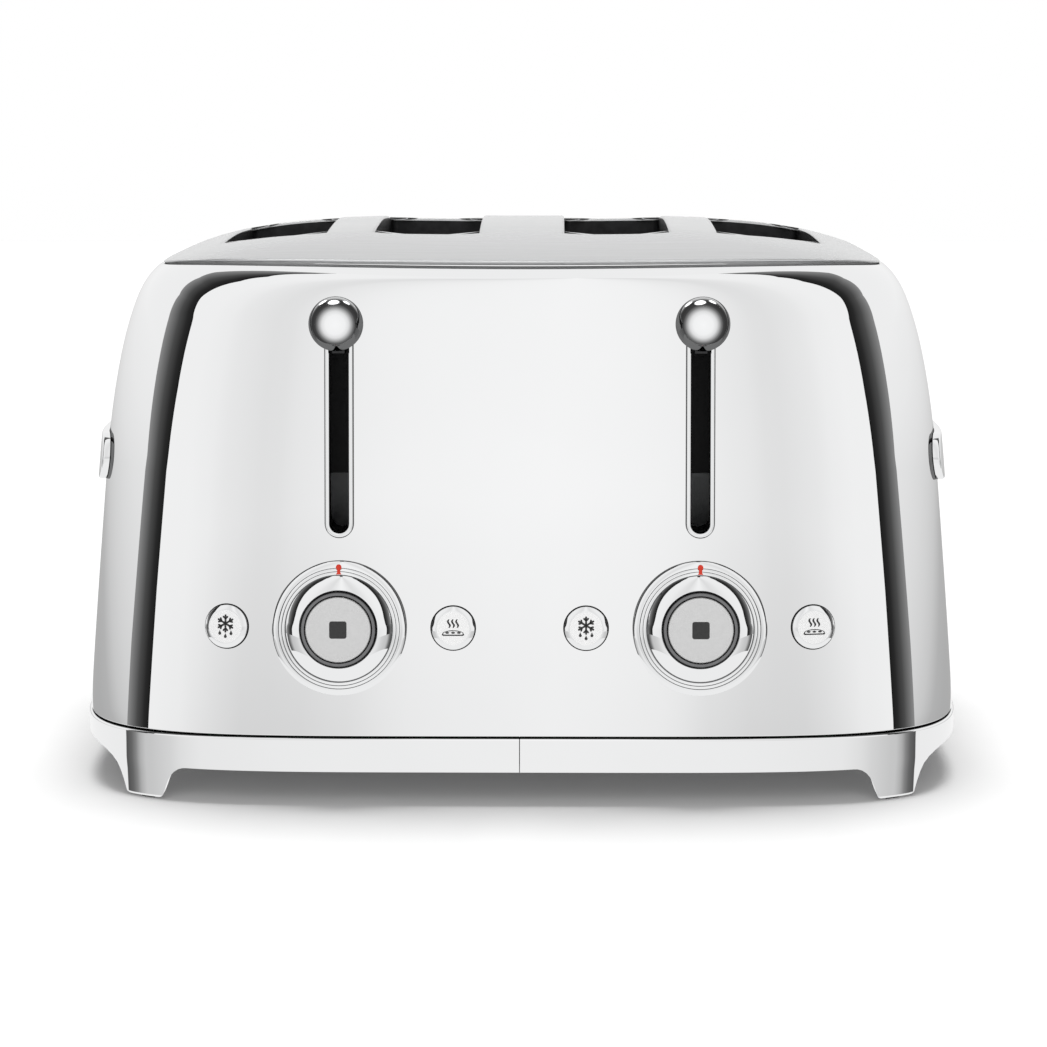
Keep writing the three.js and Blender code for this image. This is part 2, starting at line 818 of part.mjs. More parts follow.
// The carriage: crossbar, plate, bushes on the rod, spring lug and the arm out to the ball.
function carriage(x) {
  const back = -carriagePlateY;
  const front = back - carriageThickness;
  const crossbarTop = crossbarBottom + crossbarHeight;
  const bushRadius = rodRadius + seat + bushWall;
  const rodX = x - rodOffset;
  const lugX = x + rodOffset;
  const armEnd = faceDepth(x, leverHeight) - leverNeckStart;
  const pieces = [
    block(x - crossbarReach, x + crossbarReach, front, back, crossbarBottom, crossbarTop),
    block(rodX - bushRadius, x + rodBracketHalfWidth, front, back, crossbarBottom, armTop),
    block(x, lugX + springLugHalfWidth, front, back, crossbarBottom, springLugTop),
    block(
      lugX - springLugHalfWidth,
      lugX + springLugHalfWidth,
      -rodY - springLugHalfWidth,
      back,
      springLugTop - springLugThickness,
      springLugTop,
    ),
    block(x - armWidth / 2, x + armWidth / 2, armEnd, back, armBottom, armTop),
  ];
  for (const z of [crossbarBottom, armTop - bushLength]) {
    pieces.push(post(rodX, -rodY, bushRadius, z, z + bushLength));
    pieces.push(block(rodX - bushWebWidth / 2, rodX + bushWebWidth / 2, -rodY, back, z, z + bushLength));
  }
  const neckEnd = ballY(x) + leverBallRadius - leverSocketDepth + seat;
  pieces.push(neck(x, neckEnd, armEnd + overrun, leverNeckRadius));
  const bore = post(rodX, -rodY, rodRadius + seat, crossbarBottom - overrun, armTop + overrun);
  return joined(pieces).subtract(bore);
}

// A round bar along Y at the lever's height.
function neck(x, y0, y1, radius) {
  const geometry = new THREE.CylinderGeometry(radius, radius, y1 - y0, smallSteps);
  geometry.translate(x, (y0 + y1) / 2, leverHeight);
  return solid(geometry);
}

// The face leans out lower down, so the ball stands clear of the trim there at the end of its travel.
function ballY(x) {
  const trim = faceDepth(x, leverHeight - leverTravel) - seat - bezelThickness;
  return trim - leverBallGap - leverBallRadius;
}

function leverBall(x) {
  const centre = ballY(x);
  const geometry = new THREE.SphereGeometry(leverBallRadius, smallSteps, smallSteps / 2 + 2);
  geometry.translate(x, centre, leverHeight);
  const back = centre + leverBallRadius;
  const socket = neck(x, back - leverSocketDepth, back + overrun, leverNeckRadius + seat);
  return solid(geometry).subtract(socket);
}

function guideRod(x) {
  return post(x - rodOffset, -rodY, rodRadius, chassisBottom, rodBracketHeight - seat);
}

// The latch magnet holds the carriage down and is also its lower stop.
function latchMagnet(x) {
  const centre = x + rodOffset;
  const top = crossbarBottom - leverTravel - magnetStopGap;
  const back = -chassisY - seat;
  const half = magnetHalfWidth;
  const core = block(centre - half, centre + half, back - magnetDepth, back, chassisBottom, top);
  const notchZ = (chassisBottom + top) / 2;
  const notch = half / 2;
  const notchBack = back - magnetDepth / 2;
  const notchFront = notchBack - magnetDepth;
  const window = block(centre - notch, centre + notch, notchFront, notchBack, notchZ, notchZ + notch);
  return core.subtract(window);
}

// The return spring: a coil pulled out between the bracket and the carriage's lug.
function carriageSpring(x) {
  const low = springLugTop + seat;
  const high = rodBracketHeight - seat;
  const boreRadius = springRadius - 2 * springWireRadius;
  const outer = post(x + rodOffset, -rodY, springRadius, low, high);
  const inner = post(x + rodOffset, -rodY, boreRadius, low - overrun, high + overrun);
  return outer.subtract(inner);
}

// A crumb tray with raised edges and a door that closes the back of the shell.
function crumbTray(x) {
  const half = trayHalfWidth - sheetWall;
  const front = -chassisInnerY + trayFrontGap;
  const rear = bodyHalfDepth(trayDoorTop) - shellWall;
  const floorTop = trayFloorZ + sheetWall;
  const halfIn = half - sheetWall;
  const dish = block(x - half, x + half, front, rear, trayFloorZ, floorTop + trayLipHeight).subtract(
    block(x - halfIn, x + halfIn, front + sheetWall, rear + overrun, floorTop, trayDoorTop),
  );
  const skin = bodyForm(0).subtract(bodyForm(-2 * shellWall));
  const door = trayOpening(x, 0).intersect(skin);
  const inside = bodyForm(-shellWall);
  const plate = block(x - half, x + half, chassisY, baseDepth / 2, trayFloorZ, floorTop);
  const gripY = bodyHalfDepth(trayFloorZ) * trayGripReachShare;
  const gripZ = (trayFloorZ + trayDoorTop) / 2;
  const gripForm = bodyForm(trayGripDepth);
  const grip = block(
    x - trayGripHalfWidth,
    x + trayGripHalfWidth,
    gripY - 2 * trayGripDepth,
    baseDepth / 2 + 2 * trayGripDepth,
    gripZ,
    gripZ + trayGripHeight,
  ).intersect(gripForm);
  return joined([dish, plate.intersect(inside), door, grip.subtract(inside)]);
}

// A plate that carries the controls' switches, parallel to the face of the dials.
function controlBoard() {
  const frame = faceFrame(0, controlHeight, dialNormal);
  const tall = baseDepth / 2;
  const geometry = new THREE.BoxGeometry(2 * boardHalfWidth, boardThickness, 2 * tall);
  geometry.translate(0, -boardDistance - boardThickness / 2, 0);
  const lean = Math.atan2(dialNormal.z, -dialNormal.y);
  geometry.rotateX(Math.PI - lean);
  const place = new THREE.Vector3().setFromMatrixPosition(frame);
  geometry.translate(place.x, place.y, place.z);
  const reach = boardHalfWidth + overrun;
  const clip = block(-reach, reach, -baseDepth, -chassisY, chassisBottom, boardTop);
  return solid(geometry).intersect(clip);
}

function dialHub(x) {
  const inner = hubRadius - hubWall;
  const back = -boardDistance + seat;
  const profile = [
    [inner, back],
    [hubRadius, back],
    [hubRadius, hubHeight],
    [inner, hubHeight],
    [inner, back],
  ];
  return turned(profile, controlFrame(x), latheSteps);
}

// The middle controls share one plane, so the board behind them is flat.
function controlFrame(x) {
  const frame = faceFrame(0, controlHeight, dialNormal);
  return new THREE.Matrix4().makeTranslation(x, 0, 0).multiply(frame);
}

// A browning dial: a grooved rim and a cone that rises to the stop button.
function dial(x) {
  const coneShares = [0.35, 0.7];
  const cone = coneShares.map((share) => [
    dialConeFoot + (dialConeTop - dialConeFoot) * share,
    dialRimHeight + (dialHeight - dialRimHeight) * share ** dialConeExponent - dialGroove * (1 - share),
  ]);
  const profile = [
    [dialBore, dialBack],
    [dialRadius, dialBack],
    [dialRadius, dialRimHeight - 2 * dialGroove],
    [dialRadius - 2 * dialGroove, dialRimHeight],
    [dialRimInner, dialRimHeight],
    [dialConeFoot, dialRimHeight - dialGroove],
    ...cone,
    [dialConeTop, dialHeight],
    [dialBore, dialHeight],
    [dialBore, dialBack],
  ];
  return turned(profile, controlFrame(x), latheSteps);
}

function stopButton(x) {
  const stemEnd = -boardDistance + buttonTravel + 2 * seat;
  const profile = [
    [0, stemEnd],
    [stemRadius, stemEnd],
    [stemRadius, -stopSkirt],
    [stopRadius, -stopSkirt],
    [stopRadius, stopHeight - 2 * stopCrown],
    [stopRadius - stopCrown, stopHeight - stopCrown],
    [stopRadius / 2, stopHeight - stopCrown / 4],
    [0, stopHeight],
  ];
  return turned(profile, controlFrame(x), latheSteps);
}

function functionButton(x) {
  const profile = [
    [0, -boardDistance / 2],
    [stemRadius, -boardDistance / 2],
    [stemRadius, -buttonSkirt],
    [buttonRadius, -buttonSkirt],
    [buttonRadius, buttonHeight - buttonBevel],
    [buttonRadius - buttonBevel, buttonHeight],
    [0, buttonHeight],
  ];
  return turned(profile, faceFrame(x, controlHeight, faceNormal(x, controlHeight)), buttonSteps);
}

// A plain bright bar on each side of the shell.
function sideBadge(sign) {
  const bar = roundedRect(
    -badgeHalfLength,
    badgeHalfLength,
    badgeHeight - badgeHalfHeight,
    badgeHeight + badgeHalfHeight,
    badgeHalfHeight * roundEndShare,
  );
  const reach = [sign * (baseWidth / 4), sign * (baseWidth / 2 + badgeThickness)].sort((a, b) => a - b);
  return prismAlongX(bar, reach[0], reach[1])
    .intersect(bodyForm(seat + badgeThickness))
    .subtract(bodyForm(seat));
}

// The place on the back of the shell where the mains lead leaves.
function glandFrame() {
  const forwards = faceNormal(0, glandHeight);
  const backwards = new THREE.Vector3(0, -forwards.y, forwards.z);
  const turn = new THREE.Quaternion().setFromUnitVectors(new THREE.Vector3(0, 1, 0), backwards);
  const place = new THREE.Vector3(0, bodyHalfDepth(glandHeight), glandHeight);
  return new THREE.Matrix4().compose(place, turn, new THREE.Vector3(1, 1, 1));
}

// The grommet that the mains lead would leave through.
function cordGland() {
  const profile = [
    [glandBore, -glandLength],
    [glandBodyRadius, -glandLength],
    [glandBodyRadius, glandFlangeBack],
    [glandFlangeRadius, glandFlangeBack],
    [glandFlangeRadius, glandFlangeBack + glandFlangeThickness / 2],
    [glandFlangeRadius - glandFlangeThickness / 2, glandFlangeBack + glandFlangeThickness],
    [glandBore, glandFlangeBack + glandFlangeThickness],
    [glandBore, -glandLength],
  ];
  return turned(profile, glandFrame(), smallSteps);
}

add("body_shell", "mirror", bodyShell());
add("top_panel", "satin", topPanel());
add("bottom_plate", "steel", bottomPlate());
const wholeRing = baseRing();
for (const { name, sign } of sides) {
  const reach = [sign * (seat / 2), sign * baseWidth].sort((a, b) => a - b);
  const half = block(reach[0], reach[1], -baseDepth, baseDepth, -overrun, ringTop + overrun);
  add("base_ring_" + name, "mirror", wholeRing.intersect(half));
  add("foot_pad_front_" + name, "rubber", footPad(sign, -1));
  add("foot_pad_rear_" + name, "rubber", footPad(sign, 1));
  add("side_badge_" + name, "mirror", sideBadge(sign));
}
add("cord_gland", "rubber", cordGland());
add("chassis_front_plate", "steel", chassisFrontPlate());
add("chassis_rear_plate", "steel", chassisRearPlate());
add("control_board", "board", controlBoard());

for (const { name, sign } of sides) {
  const x = sign * moduleX;
  add("lever_bezel_" + name, "mirror", leverBezel(x));
  add("lever_gate_" + name, "black", leverGate(x));
  add("guide_rod_" + name, "wire", guideRod(x));
  add("latch_magnet_" + name, "magnet", latchMagnet(x));
  add("carriage_" + name, "steel", carriage(x));
  add("carriage_spring_" + name, "wire", carriageSpring(x));
  add("lever_ball_" + name, "mirror", leverBall(x));
  add("crumb_tray_" + name, "mirror", crumbTray(x));
  add("dial_hub_" + name, "black", dialHub(x));
  add("dial_" + name, "mirror", dial(x));
  add("stop_button_" + name, "grey", stopButton(x));
  for (const [place, offset] of [["outer", sign], ["middle", 0], ["inner", -sign]]) {
    add("heater_board_" + name + "_" + place, "mica", heaterBoard(x + offset * heaterPitch));
  }
}
for (const { kind, name, x } of buttonPlaces()) {
  add(kind + "_button_" + name, "grey", functionButton(x));
}
slotCentres.forEach((x, index) => {
  const slot = index + 1;
  add("bread_rack_" + slot, "wire", breadRack(x));
  add("bread_guide_" + slot + "_left", "wire", breadGuide(x - guideOpenOffset));
  add("bread_guide_" + slot + "_right", "wire", breadGuide(x + guideOpenOffset));
});

// The toaster stands with the middle of its outline over the origin.
const toaster = new THREE.Group();
for (const { name, finish, made } of nodes) {
  const { color, roughness, metalness } = finishes[finish];
  const material = new THREE.MeshStandardMaterial({ color, roughness, metalness });
  const mesh = new THREE.Mesh(geometryOf(made), material);
  mesh.name = name;
  toaster.add(mesh);
}
const outline = new THREE.Box3().setFromObject(toaster);
toaster.position.y = -(outline.min.y + outline.max.y) / 2;

export default toaster;
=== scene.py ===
import json
import math

import bmesh
import bpy
import numpy as np
from mathutils import Matrix, Vector
from mathutils.geometry import delaunay_2d_cdt

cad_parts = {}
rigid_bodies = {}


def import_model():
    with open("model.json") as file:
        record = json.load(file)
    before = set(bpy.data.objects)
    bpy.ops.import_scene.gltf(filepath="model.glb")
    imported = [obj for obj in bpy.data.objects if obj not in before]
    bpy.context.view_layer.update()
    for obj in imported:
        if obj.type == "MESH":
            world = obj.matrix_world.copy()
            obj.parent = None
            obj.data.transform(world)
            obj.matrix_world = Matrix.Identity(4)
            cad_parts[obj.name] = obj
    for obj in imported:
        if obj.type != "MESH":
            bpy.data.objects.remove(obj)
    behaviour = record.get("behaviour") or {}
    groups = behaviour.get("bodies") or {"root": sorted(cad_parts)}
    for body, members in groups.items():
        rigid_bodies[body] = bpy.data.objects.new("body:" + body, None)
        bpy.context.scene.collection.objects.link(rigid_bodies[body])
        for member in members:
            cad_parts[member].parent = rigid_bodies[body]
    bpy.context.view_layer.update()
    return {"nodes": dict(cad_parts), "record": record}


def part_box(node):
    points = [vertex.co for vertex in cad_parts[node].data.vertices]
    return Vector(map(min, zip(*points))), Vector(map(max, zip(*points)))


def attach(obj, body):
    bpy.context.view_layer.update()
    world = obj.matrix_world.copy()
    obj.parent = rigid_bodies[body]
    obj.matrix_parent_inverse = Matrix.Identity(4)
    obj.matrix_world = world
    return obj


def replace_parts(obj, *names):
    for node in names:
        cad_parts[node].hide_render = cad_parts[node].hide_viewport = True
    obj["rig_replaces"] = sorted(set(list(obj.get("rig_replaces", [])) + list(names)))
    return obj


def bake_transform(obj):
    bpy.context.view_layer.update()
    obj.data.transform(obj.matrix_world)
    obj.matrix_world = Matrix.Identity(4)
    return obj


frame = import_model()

# Shapes are worked out in millimetres about the middle of the body.
# Every mesh is then made in metres in the frame.
MM = 0.001
nodes = frame["nodes"]


def box_mm(node):
    """The lowest and highest corners of a CAD node, in millimetres."""
    low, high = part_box(node)
    return low / MM, high / MM


shell_low, shell_high = box_mm("body_shell")
ring_low, ring_high = box_mm("base_ring_right")
panel_low, panel_high = box_mm("top_panel")
dial_low, dial_high = box_mm("dial_right")
bezel_low, bezel_high = box_mm("lever_bezel_right")

# Overall body, repeated from the part's source
SHIFT_Y = (shell_low.y + shell_high.y) / 2
BASE_HALF_WIDTH = ring_high.x
BASE_HALF_DEPTH = (ring_high.y - ring_low.y) / 2
PLAN_EXPONENT = 5
CORNER_CROWDING = 0.12
SHELL_BOTTOM = shell_low.z
SHELL_TOP = shell_high.z
SHELL_HEIGHT = SHELL_TOP - SHELL_BOTTOM
SHELL_STEP = 0.6
SHELL_WALL = 1.2
SIDE_LEAN = 13.8
SIDE_LEAN_EXPONENT = 1.12
SIDE_SHOULDER = (73, 11.45)
FRONT_LEAN = 12.9
FRONT_SHOULDER = (18.7, 10.5)
SHOULDER_REACH = 0.93
TOP_ROUND = (11.9, 3.0)
ROUND_REACH = 0.995
DIP_START = 160
PANEL_TOP = panel_high.z
PANEL_LIP = 1.7
PANEL_EDGE = SHELL_TOP + PANEL_LIP
PANEL_RISE = PANEL_TOP - PANEL_EDGE
CROWN_WIDTH_EXPONENT = 4.6
CROWN_DEPTH_EXPONENT = 1.85
SLOT_HALF_WIDTH = 19.8
SLOT_HALF_LENGTH = 70
SLOT_CORNER = 3
MODULE_X = (dial_low.x + dial_high.x) / 2
SLOT_CENTRES = [sum(end.x for end in box_mm(f"bread_rack_{n}")) / 2 for n in (1, 2, 3, 4)]
CONTROL_HEIGHT = 64.9
DIAL_NORMAL = Vector((0, -0.997086, 0.076289))
BUTTON_OFFSET = 41
LEVER_SLOT_HALF = 3.3
LEVER_SLOT_BOTTOM = bezel_low.z + 2
LEVER_SLOT_TOP = bezel_high.z - 2
TRAY_HALF_WIDTH = 40.7
TRAY_DOOR = (30, 45)
GLAND_HEIGHT = 60
RING_BOTTOM = 12.6
RING_TOP = ring_high.z
RING_WALL = 4
FOOT_BOTTOM = 0.6
FOOT_TAPER = 0.4
FOOT_INNER = (131, 123)
PAD_NODES = [name for name in nodes if name.startswith("foot_pad")]
BODY_STEPS = 480
SIDES = (("left", -1), ("right", 1))


# Body form

def height_share(z):
    return np.clip((z - SHELL_BOTTOM) / SHELL_HEIGHT, 0, 1)


def shoulder(z, height, depth):
    share = np.clip((z - (SHELL_TOP - height)) / height, 0, 1) * SHOULDER_REACH
    return depth * (1 - np.sqrt(1 - share**2)) / (1 - math.sqrt(1 - SHOULDER_REACH**2))


def half_width(z):
    lean = SIDE_LEAN * height_share(z) ** SIDE_LEAN_EXPONENT
    height, depth = TOP_ROUND
    share = np.clip((z - (SHELL_TOP - height)) / height, 0, 1) * ROUND_REACH
    top_round = depth * (1 - np.sqrt(1 - share**2))
    return BASE_HALF_WIDTH - SHELL_STEP - lean - shoulder(z, *SIDE_SHOULDER) - top_round


def half_depth(z):
    return BASE_HALF_DEPTH - SHELL_STEP - FRONT_LEAN * height_share(z) - shoulder(z, *FRONT_SHOULDER)


def plan_angles(steps):
    """Angles round the plan, closer together at the four corners."""
    turn = np.arange(steps) / steps * 2 * math.pi
    return turn + CORNER_CROWDING * np.sin(4 * turn)


def plan_places(angles, a, b):
    """Where each direction meets the plan outline."""
    across, along = np.cos(angles), np.sin(angles)
    reach = (np.abs(across / a) ** PLAN_EXPONENT + np.abs(along / b) ** PLAN_EXPONENT) ** (-1 / PLAN_EXPONENT)
    return reach * across, reach * along


def plan_row(angles, a, b, z):
    """One closed row of points round the plan outline."""
    return np.stack([*plan_places(angles, a, b), np.full_like(angles, z)], axis=1)


def face_depth(x, z):
    """How far the front face stands from the middle at a place on it."""
    return half_depth(z) * (1 - np.abs(x / half_width(z)) ** PLAN_EXPONENT) ** (1 / PLAN_EXPONENT)


def side_reach(y, z):
    """How far the side face stands from the middle at a place on it."""
    return half_width(z) * (1 - np.abs(y / half_depth(z)) ** PLAN_EXPONENT) ** (1 / PLAN_EXPONENT)


def shell_dip(across):
    """How far the shell's top edge sinks, by its share of the way to the side."""
    return 0.6 - 3.4 * across**2 + 3.3 * across**4 + 1.7 * across**12


def panel_dip(across):
    """How far the panel's edge sinks, by its share of the way to the side."""
    return 3.0 * across**9 - 2.4 * across**2 * (1 - across**2)


def edge_across(angles, a, b):
    """The share of the way to the side at which a direction meets the plan outline."""
    return np.abs(plan_places(angles, a, b)[0]) / a


def dipped(angles, z):
    """Height of the shell's skin where the plain form would be at z."""
    share = np.clip((z - DIP_START) / (SHELL_TOP - DIP_START), 0, 1)
    weight = share * share * (3 - 2 * share)
    return z - weight * shell_dip(edge_across(angles, half_width(z), half_depth(z)))


def shell_row(angles, z, inset=0.0):
    row = plan_row(angles, half_width(z) - inset, half_depth(z) - inset, 0)
    row[:, 2] = dipped(angles, z)
    return row


def shell_normals(points):
    """Exact outward directions of the shell's skin, worked out from its own formula."""
    angles = np.arctan2(points[:, 1], points[:, 0])
    z = points[:, 2].copy()
    for _ in range(6):
        z += points[:, 2] - dipped(angles, z)

    def skin(turn, height):
        places = plan_places(turn, half_width(height), half_depth(height))
        return np.stack([*places, dipped(turn, height)], axis=1)

    step = 1e-3
    around = skin(angles + step, z) - skin(angles - step, z)
    upward = skin(angles, np.minimum(z + step, SHELL_TOP)) - skin(angles, z - step)
    normals = np.cross(around, upward)
    normals /= np.linalg.norm(normals, axis=1, keepdims=True)
    return normals, skin(angles, z)


def plain_normals(points, width_at, depth_at):
    """Exact outward directions of a form whose plan half sizes are functions of height."""
    x, y, z = points.T
    step = 0.02
    a, b = width_at(z), depth_at(z)
    slope_a = (width_at(z + step) - width_at(z - step)) / (2 * step)
    slope_b = (depth_at(z + step) - depth_at(z - step)) / (2 * step)
    px = np.abs(x / a) ** (PLAN_EXPONENT - 1)
    py = np.abs(y / b) ** (PLAN_EXPONENT - 1)
    grad = np.stack([
        np.sign(x) * px / a,
        np.sign(y) * py / b,
        -(px * np.abs(x) * slope_a / a**2 + py * np.abs(y) * slope_b / b**2),
    ], axis=1)
    return grad / np.linalg.norm(grad, axis=1, keepdims=True)


def face_place(x, z):
    return Vector((x, -float(face_depth(x, z)), z))


def face_normal(x, z):
    point = np.array([[x, -float(face_depth(x, z)), z]])
    return Vector(plain_normals(point, half_width, half_depth)[0])


def control_place(x):
    """A dial's place on the front, as deep as the middle of the front is there."""
    return Vector((x, -float(face_depth(0, CONTROL_HEIGHT)), CONTROL_HEIGHT))


def gland_axis():
    """The middle of the cord's hole in the back, and the direction that it faces."""
    front = face_normal(0, GLAND_HEIGHT)
    place = Vector((0, float(face_depth(0, GLAND_HEIGHT)), GLAND_HEIGHT))
    return place, Vector((0, -front.y, front.z))


def face_axes(normal):
    """The directions across and up a face that looks along a normal."""
    up = (Vector((0, 0, 1)) - normal * normal.z).normalized()
    return up.cross(normal), up


def crown_height(x, y):
    """Height of the top panel's upper face."""
    across = np.abs(x / half_width(SHELL_TOP))
    along = np.abs(y / half_depth(SHELL_TOP))
    share = (across**PLAN_EXPONENT + along**PLAN_EXPONENT) ** (1 / PLAN_EXPONENT) + 1e-9
    here = across**CROWN_WIDTH_EXPONENT + along**CROWN_DEPTH_EXPONENT
    edge = (across / share) ** CROWN_WIDTH_EXPONENT + (along / share) ** CROWN_DEPTH_EXPONENT
    return PANEL_TOP - (PANEL_RISE + panel_dip(across / share)) * here / edge


def crown_normals(x, y):
    step = 0.4
    slope_x = (crown_height(x + step, y) - crown_height(x - step, y)) / (2 * step)
    slope_y = (crown_height(x, y + step) - crown_height(x, y - step)) / (2 * step)
    grad = np.stack([-slope_x, -slope_y, np.ones_like(slope_x)], axis=1)
    return grad / np.linalg.norm(grad, axis=1, keepdims=True)


# Meshes

def in_frame(points):
    return (np.asarray(points, float) + (0, SHIFT_Y, 0)) * MM


def add_object(name, data):
    obj = bpy.data.objects.new(name, data)
    bpy.context.scene.collection.objects.link(obj)
    return obj


def new_object(name, points, faces):
    """A smooth mesh object from points in millimetres."""
    mesh = bpy.data.meshes.new(name)
    mesh.from_pydata(in_frame(points).tolist(), [], [list(map(int, face)) for face in faces])
    mesh.polygons.foreach_set("use_smooth", [True] * len(mesh.polygons))
    mesh.update()
    return add_object(name, mesh)


def tube_faces(rows, steps, loop=False, capped=False):
    """Quads through rows of points. With loop the last row joins the first, and capped closes both ends."""
    faces = []
    for row in range(rows if loop else rows - 1):
        low = row * steps
        high = (row + 1) % rows * steps
        for step in range(steps):
            after = (step + 1) % steps
            faces.append((low + step, low + after, high + after, high + step))
    if capped:
        faces.append(tuple(range(steps))[::-1])
        faces.append(tuple(range((rows - 1) * steps, rows * steps)))
    return faces


def sharpen(obj, degrees=35):
    obj.data.set_sharp_from_angle(angle=math.radians(degrees))
    return obj


def turned(name, profile, place, normal, steps=96):
    """A profile of radius and height turned about an axis at a place. A radius of zero closes it."""
    turn = Vector((0, 0, 1)).rotation_difference(normal).to_matrix()
    points, faces, starts = [], [], []
    for radius, height in profile:
        starts.append(len(points))
        if radius == 0:
            points.append(turn @ Vector((0, 0, height)) + place)
            continue
        for step in range(steps):
            angle = step / steps * 2 * math.pi
            spot = Vector((radius * math.cos(angle), radius * math.sin(angle), height))
            points.append(turn @ spot + place)
    for index in range(len(profile) - 1):
        here, there = starts[index], starts[index + 1]
        for step in range(steps):
            after = (step + 1) % steps
            if profile[index][0] == 0:
                faces.append((here, there + after, there + step))
            elif profile[index + 1][0] == 0:
                faces.append((here + step, here + after, there))
            else:
                faces.append((here + step, here + after, there + after, there + step))
    return new_object(name, [tuple(point) for point in points], faces)


def arc_points(x, y, wide, high, start, end, steps, last=True):
    """Points on an arc from one angle to another, in degrees, about a centre."""
    points = []
    for step in range(steps + 1 if last else steps):
        angle = math.radians(start + (end - start) * step / steps)
        points.append((x + wide * math.cos(angle), y + high * math.sin(angle)))
    return points


def stadium(centre_x, grow, low, high, half, arc=20, straight=40):
    """A closed upright outline with round ends, in X and Z."""
    radius = half + grow
    outline = []
    for side, here, there in ((1, high - half, low + half), (-1, low + half, high - half)):
        start = 0 if side > 0 else 180
        outline += arc_points(centre_x, here, radius, radius, start, start + 180, arc, last=False)
        for step in range(straight):
            outline.append((centre_x - side * radius, here + (there - here) * step / straight))
    return np.array(outline)


def prism(name, outline, near, far):
    """A closed cutter: an outline in X and Z run along Y."""
    count = len(outline)
    points = [(x, y, z) for y in (near, far) for x, z in outline]
    return new_object(name, points, tube_faces(2, count, capped=True))


def drum(name, radius, place, normal, reach, steps=96):
    """A closed round cutter about an axis."""
    profile = [(0, -reach), (radius, -reach), (radius, reach), (0, reach)]
    return turned(name, profile, place, normal, steps)


def outward(obj):
    """Turns every face of a closed mesh to the outside."""
    mesh = bmesh.new()
    mesh.from_mesh(obj.data)
    bmesh.ops.recalc_face_normals(mesh, faces=mesh.faces)
    mesh.to_mesh(obj.data)
    mesh.free()
    return obj


def cut(obj, cutters):
    """Takes the cutters away from an object one after another, and removes them."""
    outward(obj)
    for cutter in cutters:
        outward(cutter)
        modifier = obj.modifiers.new("cut", "BOOLEAN")
        modifier.operation = "DIFFERENCE"
        modifier.solver = "EXACT"
        modifier.object = cutter
        bpy.context.view_layer.update()
        made = bpy.data.meshes.new_from_object(obj.evaluated_get(bpy.context.evaluated_depsgraph_get()))
        obj.modifiers.clear()
        obj.data = made
        bpy.data.objects.remove(cutter)
    return obj


def joined(name, objects):
    """One object from several that don't touch."""
    mesh = bmesh.new()
    for obj in objects:
        mesh.from_mesh(obj.data)
        bpy.data.objects.remove(obj)
    data = bpy.data.meshes.new(name)
    mesh.to_mesh(data)
    mesh.free()
    return add_object(name, data)


def set_exact_normals(obj, exact, on_form):
    """Gives the faces that lie on a form its exact directions, so that it mirrors without ripples."""
    same_side = 0.8
    mesh = obj.data
    sharpen(obj, 30)
    corner_vertex = np.empty(len(mesh.loops), dtype=np.int32)
    mesh.loops.foreach_get("vertex_index", corner_vertex)
    normals = np.zeros((len(mesh.loops), 3))
    for face in mesh.polygons:
        corners = slice(face.loop_start, face.loop_start + face.loop_total)
        spots = corner_vertex[corners]
        if on_form[spots].all() and np.dot(exact[spots].mean(axis=0), face.normal) > same_side:
            normals[corners] = exact[spots]
    mesh.normals_split_custom_set(normals.tolist())
    return obj


def places_mm(obj):
    """The points of a mesh in millimetres about the middle of the body."""
    co = np.empty(len(obj.data.vertices) * 3)
    obj.data.vertices.foreach_get("co", co)
    return co.reshape(-1, 3) / MM - (0, SHIFT_Y, 0)


# Materials

def node_material(name):
    material = bpy.data.materials.new(name)
    material.use_nodes = True
    tree = material.node_tree
    return material, tree, tree.nodes["Principled BSDF"]


NOISE_LOW = 0.3
NOISE_HIGH = 0.7
NOISE_ROUGHNESS = 0.55


def noise_node(tree, scale, stretch=(1, 1, 1), detail=4):
    """A noise that stays fixed to the object's own place."""
    place = tree.nodes.new("ShaderNodeTexCoord")
    mapping = tree.nodes.new("ShaderNodeMapping")
    mapping.inputs["Scale"].default_value = stretch
    noise = tree.nodes.new("ShaderNodeTexNoise")
    noise.inputs["Scale"].default_value = scale
    noise.inputs["Detail"].default_value = detail
    noise.inputs["Roughness"].default_value = NOISE_ROUGHNESS
    tree.links.new(place.outputs["Object"], mapping.inputs["Vector"])
    tree.links.new(mapping.outputs["Vector"], noise.inputs["Vector"])
    return noise.outputs["Fac"]


def spread(tree, source, near, far, low=0, high=1):
    """Maps one range of a value to another."""
    node = tree.nodes.new("ShaderNodeMapRange")
    for name, value in (("From Min", near), ("From Max", far), ("To Min", low), ("To Max", high)):
        node.inputs[name].default_value = value
    tree.links.new(source, node.inputs["Value"])
    return node.outputs["Result"]


def tint(tree, source, low, high):
    """Maps a noise to a range of colours."""
    node = tree.nodes.new("ShaderNodeValToRGB")
    for element, place, colour in zip(node.color_ramp.elements, (NOISE_LOW, NOISE_HIGH), (low, high)):
        element.position = place
        element.color = (*colour, 1)
    tree.links.new(source, node.inputs["Fac"])
    return node.outputs["Color"]


RELIEF_DEPTH = 0.02 * MM


